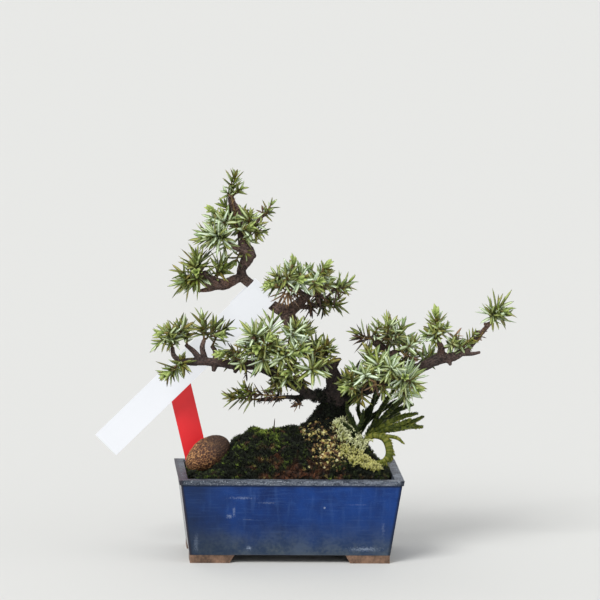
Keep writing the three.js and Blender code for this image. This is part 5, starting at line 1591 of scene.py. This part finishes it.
class BONSAI_OT_needles(bpy.types.Operator):
    """Grow the needle shoots"""

    bl_idname = "bonsai.needles"
    bl_label = "Needles"

    BUD_STEM, BUD_REACH = 4, 7.5  # millimetres of a bud's stem and of its leaves
    HELD = 1.5  # a star's foot that is nearer the wood than this needs no twig
    CLOSE, TAG_CLEAR = 4, 6  # a star this close to its wood, or to the tag behind it, has no like behind

    def execute(self, context):
        settings = context.scene.bonsai_needle
        leaf, stem = needle_material(settings), stem_material()
        tree, form = whorl_tree(), needle_form()
        holds = [smooth_line(points, 4)[:, :3] for points in (TRUNK, *TWIGS)]
        for root, tips in SPRAYS.values():
            holds += [np.linspace(root, tip[:3], 6) for tip in tips]
        self.holds = np.concatenate(holds)
        for order, (name, (prefixes, shade, openness)) in enumerate(FOLIAGE.items()):
            shoots = Shoots(settings.seed + order)
            keys = [key for key in SPRAYS if key.startswith(tuple(prefixes.split()))]
            for key in keys:
                self.spray(shoots, key, shade, settings)
            for star in STARS[name]:
                self.star(shoots, star)
            for x, y, z, *facing in BUDS.get(name, ()):
                tip = np.array((x, y, z), float)
                foot = tip - unit(facing) * self.BUD_STEM
                shoots.add_shoot(
                    [foot, tip], self.BUD_REACH, 3, pitch=1.1, age=0.0, girth=1.5, low=0.4, high=0.14)
            piece = shoots.piece(name, tree, {
                "Leaf": form, "Leaf width": settings.width, "Per whorl": settings.per_whorl,
                "Missing": settings.missing * openness, "Seed": settings.seed * 10 + order,
                "Leaf finish": leaf, "Stem finish": stem,
            })
            dress(piece, None, "needle", *("spray_" + key for key in keys))
        take_away(form)
        return {"FINISHED"}

    def spray(self, shoots, key, shade, settings):
        """The shoots of one spray, in the model's places, with shorter ones between them."""
        draw = shoots.draw
        root, tips = SPRAYS[key]
        root, first = np.array(root, float), np.array(tips[0][:3], float)
        fork = root + (first - root) * FORK_SHARE
        tone = shade + draw.uniform(-0.14, 0.1)
        for k, (x, y, z, reach) in enumerate(tips):
            foot, tip = (root if k == 0 else fork), np.array((x, y, z), float)
            length = np.linalg.norm(tip - foot)
            shoots.add_shoot(
                [foot, tip], reach * CLIPPED.get(key, 1.02), length * 0.85, pitch=1.7, shade=tone)
            axis = (tip - foot) / length
            side = unit(across_from(axis))
            for n in range(0 if key in SLIM else settings.side_shoots):
                place = foot + (tip - foot) * draw.uniform(0.1, 0.7)
                turn = 2 * math.pi * (n + draw.uniform(-0.2, 0.2)) / settings.side_shoots
                out = math.cos(turn) * side + math.sin(turn) * np.cross(axis, side)
                aim = axis * draw.uniform(0.3, 0.8) + out * draw.uniform(0.6, 0.9)
                end = place + unit(aim) * draw.uniform(4, 7)
                shoots.add_shoot(
                    [place, end], reach * draw.uniform(0.7, 0.9), 5, stem=0.5,
                    shade=tone + draw.uniform(-0.2, 0.1))

    def star(self, shoots, star):
        """A rosette held by the nearest wood, and its like on the far side of that wood."""
        x, y, z, dx, dy, dz, length, reach, age, shade = star
        draw = shoots.draw
        tip, aim = np.array((x, y, z), float), np.array((dx, dy, dz), float)
        for _ in ("near side", "far side"):
            foot = tip - unit(aim) * length
            hold = self.holds[np.argmin(np.linalg.norm(self.holds - foot, axis=1))]
            path = [foot, tip] if np.linalg.norm(hold - foot) < self.HELD else [hold, foot, tip]
            shoots.add_shoot(
                path, reach, length * (1 if age < 1 else 0.8), age=age, shade=shade,
                girth=1.0 if age < 1 else 0.7, low=1.45, high=0.75 if dy < -0.7 else 0.6)
            mirrored = np.array((x, 2 * hold[1] - y, z))
            near = abs(hold[1] - y) < self.CLOSE or tag_gap(mirrored) < self.TAG_CLEAR
            if near or dy > -0.35:  # and one that faces sideways has none either
                break
            tip = np.array((
                x + draw.uniform(-3, 3), 2 * hold[1] - y + draw.uniform(-2, 2), z + draw.uniform(-3, 3)))
            aim = np.array((dx + draw.uniform(-0.2, 0.2), -dy, dz + draw.uniform(-0.2, 0.2)))


class BONSAI_OT_moss(bpy.types.Operator):
    """Grow the moss over the soil and up the trunk"""

    bl_idname = "bonsai.moss"
    bl_label = "Moss"

    DRY_LEAVES = [  # x, z, height over the moss and radius in millimetres
        [(-7, 65, 0, 0.4), (-4, 68.5, 1.5, 0.8), (1, 69, 2.2, 0.9), (5, 66, 0, 0.3)],
        [(-9, 74, 0, 0.35), (-9.5, 78, 0.5, 0.4), (-9.3, 82, 0.5, 0.35), (-9.1, 85, 0.5, 0.15)],
        [(8, 70, 0, 0.3), (12, 67, 1.5, 0.6), (14, 63, 0, 0.3)],
        [(26, 67, 0.5, 0.3), (30, 64, 1.5, 0.5), (33, 62, 0, 0.3)],
    ]

    SHADY = (24, 92, 16, 18)  # spots, as x, z, half length and half height in millimetres
    FRESH = (-12, 78, 9, 6)
    BROWN = (6, 54, 22, 7)
    CRUMBS = ((24, 70, 11, 11), (10, 79, 3, 6))
    MAT_LOW, TRUNK_LOW = 47.5, 55  # heights above which the mat and the trunk bear shoots
    IN_FRONT = -60  # a y in front of the whole mound

    def execute(self, context):
        settings = context.scene.bonsai_moss
        mat = remeshed(copy_of("moss", "moss_mat"), settings.voxel)
        crumbs = self.mark(mat.data, settings.clump)
        smooth(mat)
        tree, shoot = scatter_tree("Moss shoots"), moss_form(1)
        soft = new_object("moss_shoots", mat.data.copy())
        values = {
            "Form": shoot, "Density": settings.density, "Smallest": settings.shoot * 0.65,
            "Largest": settings.shoot * 1.2, "Upright": 0.35, "Tone spread": 0.35,
            "Seed": settings.seed, "Finish": moss_material(settings),
        }
        grown(soft, tree, values)
        coat = new_object("trunk_moss", bpy.data.objects["bark_wood"].data.copy())
        mossy = np.empty(len(coat.data.vertices))
        coat.data.attributes["mossy"].data.foreach_get("value", mossy)
        heights = points_of(coat.data)[:, 2] / MM
        store(coat.data, cover=np.where(heights > self.TRUNK_LOW, mossy, 0), tone=0.1)
        grown(coat, tree, {
            **values, "Density": settings.density * 1.3, "Smallest": settings.shoot * 0.4,
            "Largest": settings.shoot * 0.75, "Upright": 0.2, "Seed": settings.seed + 1,
        })
        take_away(shoot)
        self.litter(mat, crumbs, tree, settings)
        dress(mat, ground_material(), "moss", "moss")
        dress(soft, None, "moss")
        dress(coat, None, "moss")
        return {"FINISHED"}

    def mark(self, mesh, clump):
        """Makes the mat lumpy and marks how much grows where, its tone and its dry litter.

        What comes back is the share of crumbs at each point."""
        points, normals = points_of(mesh), normals_of(mesh)
        cover, tone, litter, crumbs = (np.zeros(len(points)) for _ in range(4))
        middle = np.array(POT_MIDDLE)
        for k, point in enumerate(points):
            x, y, z = (point - middle) / MM
            here = Vector((x, y, z))
            lump = noise.fractal(here * 0.22, 0.9, 2, 3)
            if z > self.MAT_LOW:
                points[k] += normals[k] * lump * clump
                cover[k] = 1 if normals[k][2] > -0.2 else 0
            near = sum(self.around(x, z, spot, 4) for spot in self.CRUMBS) if y < 0 else 0
            crumbs[k] = near * (0.6 + noise.noise(here * 0.5))
            patch = noise.noise(here * 0.16 + Vector((3, 1, 7)))
            fresh = self.around(x, z, self.FRESH) * (0.7 + noise.noise(here * 0.6))
            tone[k] = 0.3 + 0.3 * patch + 0.35 * lump - 0.3 * self.around(x, z, self.SHADY) + fresh
            brown = noise.noise(here * 0.22 + Vector((9, 4, 2)))
            front = self.around(x, z, self.BROWN) * (1 if y < 0 else 0.3)
            litter[k] = clamp((brown + 0.9 * front - 0.35) * 2.5)
        set_points(mesh, points)
        cover = np.clip(cover * (1 - 0.75 * litter) * (1 - crumbs), 0, 1)
        store(mesh, cover=cover, tone=tone, litter=litter)
        return np.clip(crumbs, 0, 1)

    def around(self, x, z, spot, power=2):
        """1 in the middle of a spot, and less away from it."""
        across, up, length, tall = spot
        return math.exp(-(((x - across) / length) ** power + ((z - up) / tall) ** power))

    def litter(self, mat, cover, tree, settings):
        """Crumbs of pale bark and dry needles beside the lichen, and curled dry leaves."""
        bed = new_object("moss_litter", mat.data.copy())
        set_points(bed.data, points_of(bed.data) + normals_of(bed.data) * 0.8 * MM)
        store(bed.data, cover=cover, tone=0.5)
        crumb, finish = crumb_form(8, 0.5), litter_material()
        grown(bed, tree, {
            "Form": crumb, "Density": settings.litter, "Smallest": 0.8 * MM, "Largest": 2.6 * MM,
            "Upright": 0.1, "Tone spread": 0.5, "Seed": settings.seed + 3, "Finish": finish,
        })
        take_away(crumb)
        dress(bed, None, "moss")
        parts = []
        ground = BVHTree.FromPolygons(
            [v.co for v in mat.data.vertices], [p.vertices for p in mat.data.polygons])
        for line in self.DRY_LEAVES:
            laid = []
            for x, z, lift, radius in line:
                hit = ground.ray_cast(at(x, self.IN_FRONT, z), Vector((0, 1, 0)))[0]
                depth = (hit.y - POT_MIDDLE.y) / MM if hit else laid[-1][1]
                laid.append((x, depth - lift, z, radius))
            parts.append(tube(smooth_line(laid, 6), 6))
        leaves, faces = joined(parts)
        dry = new_piece("dry_leaves", [at(*p) for p in leaves], faces)
        smooth(dry)
        dress(dry, finish, "moss")


class BONSAI_OT_lichens(bpy.types.Operator):
    """Grow the two lichens on the moss"""

    bl_idname = "bonsai.lichens"
    bl_label = "Lichens"

    CELL = 0.7 * MM  # fineness of the crusts that carry the lobes

    def execute(self, context):
        settings = context.scene.bonsai_lichen
        tree = scatter_tree("Lichen lobes")
        kinds = (
            ("lichen_grey", "grey_lichen", settings.grey_lobe, settings.grey_density,
             rgb(116, 120, 64), rgb(216, 220, 148), rgb(246, 248, 204)),
            ("lichen_yellow", "yellow_lichen", settings.yellow_lobe, settings.yellow_density,
             rgb(74, 74, 30), rgb(200, 198, 98), rgb(238, 234, 160)),
        )
        for n, (name, slot, lobe, density, *colours) in enumerate(kinds):
            crust = remeshed(copy_of(name, name + "_lobes"), self.CELL)
            store(crust.data, cover=normals_of(crust.data)[:, 2] > -0.1, tone=0.5)
            form = lobe_form(5 + n, 2)
            grown(crust, tree, {
                "Form": form, "Density": density, "Smallest": lobe * 0.5, "Largest": lobe,
                "Upright": 0.45, "Tone spread": 0.45, "Seed": settings.seed + n,
                "Finish": lichen_material(name, *colours),
            })
            take_away(form)
            dress(crust, None, slot, name)
        return {"FINISHED"}


class BONSAI_OT_fronds(bpy.types.Operator):
    """Grow the companion plant's fronds"""

    bl_idname = "bonsai.fronds"
    bl_label = "Fronds"

    ROWS = (  # of leaves: where they stand round the stem, how far they spread, and their size
        (0, 0.44, 0.95), (0, 0.18, 0.9), (math.pi / 2, 0.1, 0.75),
    )

    def execute(self, context):
        settings = context.scene.bonsai_frond
        leaf = frond_material(settings)
        tree, form = whorl_tree(), scale_leaf_form()
        for n, (name, (facing, length, shade, ribbons)) in enumerate(FRONDS.items()):
            shoots = Shoots(settings.seed + n)
            for points in ribbons:
                self.ribbon(shoots, points, facing, shade, length, settings)
            piece = shoots.piece(name + "_leaves", tree, {
                "Leaf": form, "Leaf width": settings.leaf_width, "Per whorl": 2, "Missing": 0.02,
                "Unevenness": 0.06, "Shade spread": 0.26, "Seed": settings.seed * 10 + n,
                "Leaf finish": leaf, "Stem finish": leaf,
            })
            dress(piece, None, "frond", name)
        take_away(form)
        return {"FINISHED"}

    def ribbon(self, shoots, points, facing, shade, length, settings):
        """Scale leaves in rows: the outer ones spread flat, the inner ones pressed to the stem."""
        line = smooth_line(points, 10)
        count = max(4, int(run_along(line)[-1] / settings.pitch))
        even, _ = evened(line, count)
        sides = unit(np.cross(tangents_along(even), np.array(facing, float)))
        draw = shoots.draw
        tone = shade + draw.uniform(-0.1, 0.1)
        for spin, spread, share in self.ROWS:
            values = []
            for i in range(count):
                wide = even[i, 3]
                reach = settings.leaf * share * wide * length * (0.7 if i > count - 3 else 1)
                values.append((
                    spin, spread, reach, share * (0.5 + 0.25 * wide), 0.5,
                    tone + draw.uniform(-0.2, 0.2) + (0.15 if spin else 0),
                    0.0 if spin else 0.6 * wide * MM,
                ))
            shoots.add_line(even[:, :3], sides, values)


class BONSAI_OT_stone(bpy.types.Operator):
    """Shape the seed stone"""

    bl_idname = "bonsai.stone"
    bl_label = "Seed stone"

    CENTRE = (-49.5, -5, 62.5)
    SIZE = (30, 20, 19)
    TILT = math.radians(-33)

    def execute(self, context):
        settings = context.scene.bonsai_stone
        form = bmesh.new()
        bmesh.ops.create_uvsphere(form, u_segments=180, v_segments=120, radius=1)
        net, shadeward = [], []
        for vert in form.verts:
            z, y, x = vert.co
            angle = math.atan2(z, y)
            girth = 1 - 0.12 * x * x + 0.1 * x
            seam = 1 + 0.08 * math.exp(-((angle / 0.35) ** 2)) - 0.03 * abs(math.sin(angle * 2.5 + x * 4))
            half = np.array(self.SIZE) / 2 * (1, girth * seam, girth * seam)
            here = Vector((x * 7.6, math.cos(angle) * 5.4, math.sin(angle) * 5.4))
            warp = noise.noise(here * 0.8)
            cells = noise.voronoi(here + Vector((warp, warp, warp)) * 0.5)[0]
            ridge = 1 - min(1, (cells[1] - cells[0]) / 0.26)
            fine = noise.fractal(here * 2.2, 0.8, 2, 3)
            lift = (ridge - 0.5 + 0.35 * fine) * settings.pits / MM
            outward = Vector((x, y, z)).normalized()
            vert.co = Vector(half * (x, y, z)) + outward * lift * (1 - abs(x) ** 6)
            net.append(clamp(ridge * 0.8 + 0.25 * fine + 0.6 * math.exp(-((angle / 0.16) ** 2))))
            shadeward.append(clamp(0.5 + 0.8 * x))
        turn = Matrix.Rotation(self.TILT, 4, "Y")
        for vert in form.verts:
            vert.co = at(*(turn @ vert.co + Vector(self.CENTRE)))
        bmesh.ops.recalc_face_normals(form, faces=form.faces)
        stone = new_object("shell_stone", mesh_from(form, "shell_stone"))
        store(stone.data, net=net, shadeward=shadeward)
        smooth(stone)
        dress(stone, shell_material(), "shell", "seed_stone")
        return {"FINISHED"}


class BONSAI_OT_labels(bpy.types.Operator):
    """Finish the red stake and the white tag"""

    bl_idname = "bonsai.labels"
    bl_label = "Label and tag"

    def execute(self, context):
        settings = context.scene.bonsai_label
        stake = softened("red_label", "label_stake", settings.edge, 2)
        finish = plastic("red_plastic", settings.red, rgb(222, 30, 38), 0.5)
        dress(stake, finish, "red_plastic", "red_label")
        tag = softened("white_tag", "folded_tag", settings.edge, 2, 0.9)
        painted_glow = {"Emission_Color": rgb(250, 252, 255), "Emission_Strength": 0.66}  # painted light: a glow that keeps the sheet evenly white
        finish = plastic("white_plastic", settings.white, rgb(124, 127, 132), 0.4, **painted_glow)
        dress(tag, finish, "white_plastic", "white_tag")
        return {"FINISHED"}


class BONSAI_PT_panel(bpy.types.Panel):
    """The steps and settings of the bonsai"""

    bl_idname = "BONSAI_PT_panel"
    bl_label = "Needle juniper"
    bl_space_type = "VIEW_3D"
    bl_region_type = "UI"
    bl_category = "Bonsai"

    def draw(self, context):
        for name, _, operator in STEPS:
            box = self.layout.box()
            box.operator(operator.bl_idname)
            settings = getattr(context.scene, "bonsai_" + name)
            for key in settings.__annotations__:
                box.prop(settings, key)


STEPS = (
    ("stage", BonsaiStageSettings, BONSAI_OT_stage),
    ("pot", BonsaiPotSettings, BONSAI_OT_pot),
    ("wood", BonsaiWoodSettings, BONSAI_OT_wood),
    ("needle", BonsaiNeedleSettings, BONSAI_OT_needles),
    ("moss", BonsaiMossSettings, BONSAI_OT_moss),
    ("lichen", BonsaiLichenSettings, BONSAI_OT_lichens),
    ("frond", BonsaiFrondSettings, BONSAI_OT_fronds),
    ("stone", BonsaiStoneSettings, BONSAI_OT_stone),
    ("label", BonsaiLabelSettings, BONSAI_OT_labels),
)


def register():
    for name, kind, operator in STEPS:
        bpy.utils.register_class(kind)
        setattr(bpy.types.Scene, "bonsai_" + name, bpy.props.PointerProperty(type=kind))
        bpy.utils.register_class(operator)
    bpy.utils.register_class(BONSAI_PT_panel)


def unregister():
    bpy.utils.unregister_class(BONSAI_PT_panel)
    for name, kind, operator in reversed(STEPS):
        bpy.utils.unregister_class(operator)
        delattr(bpy.types.Scene, "bonsai_" + name)
        bpy.utils.unregister_class(kind)


def main():
    register()
    for _, _, operator in STEPS:
        family, step = operator.bl_idname.split(".")
        getattr(getattr(bpy.ops, family), step)()


if __name__ == "__main__":
    main()
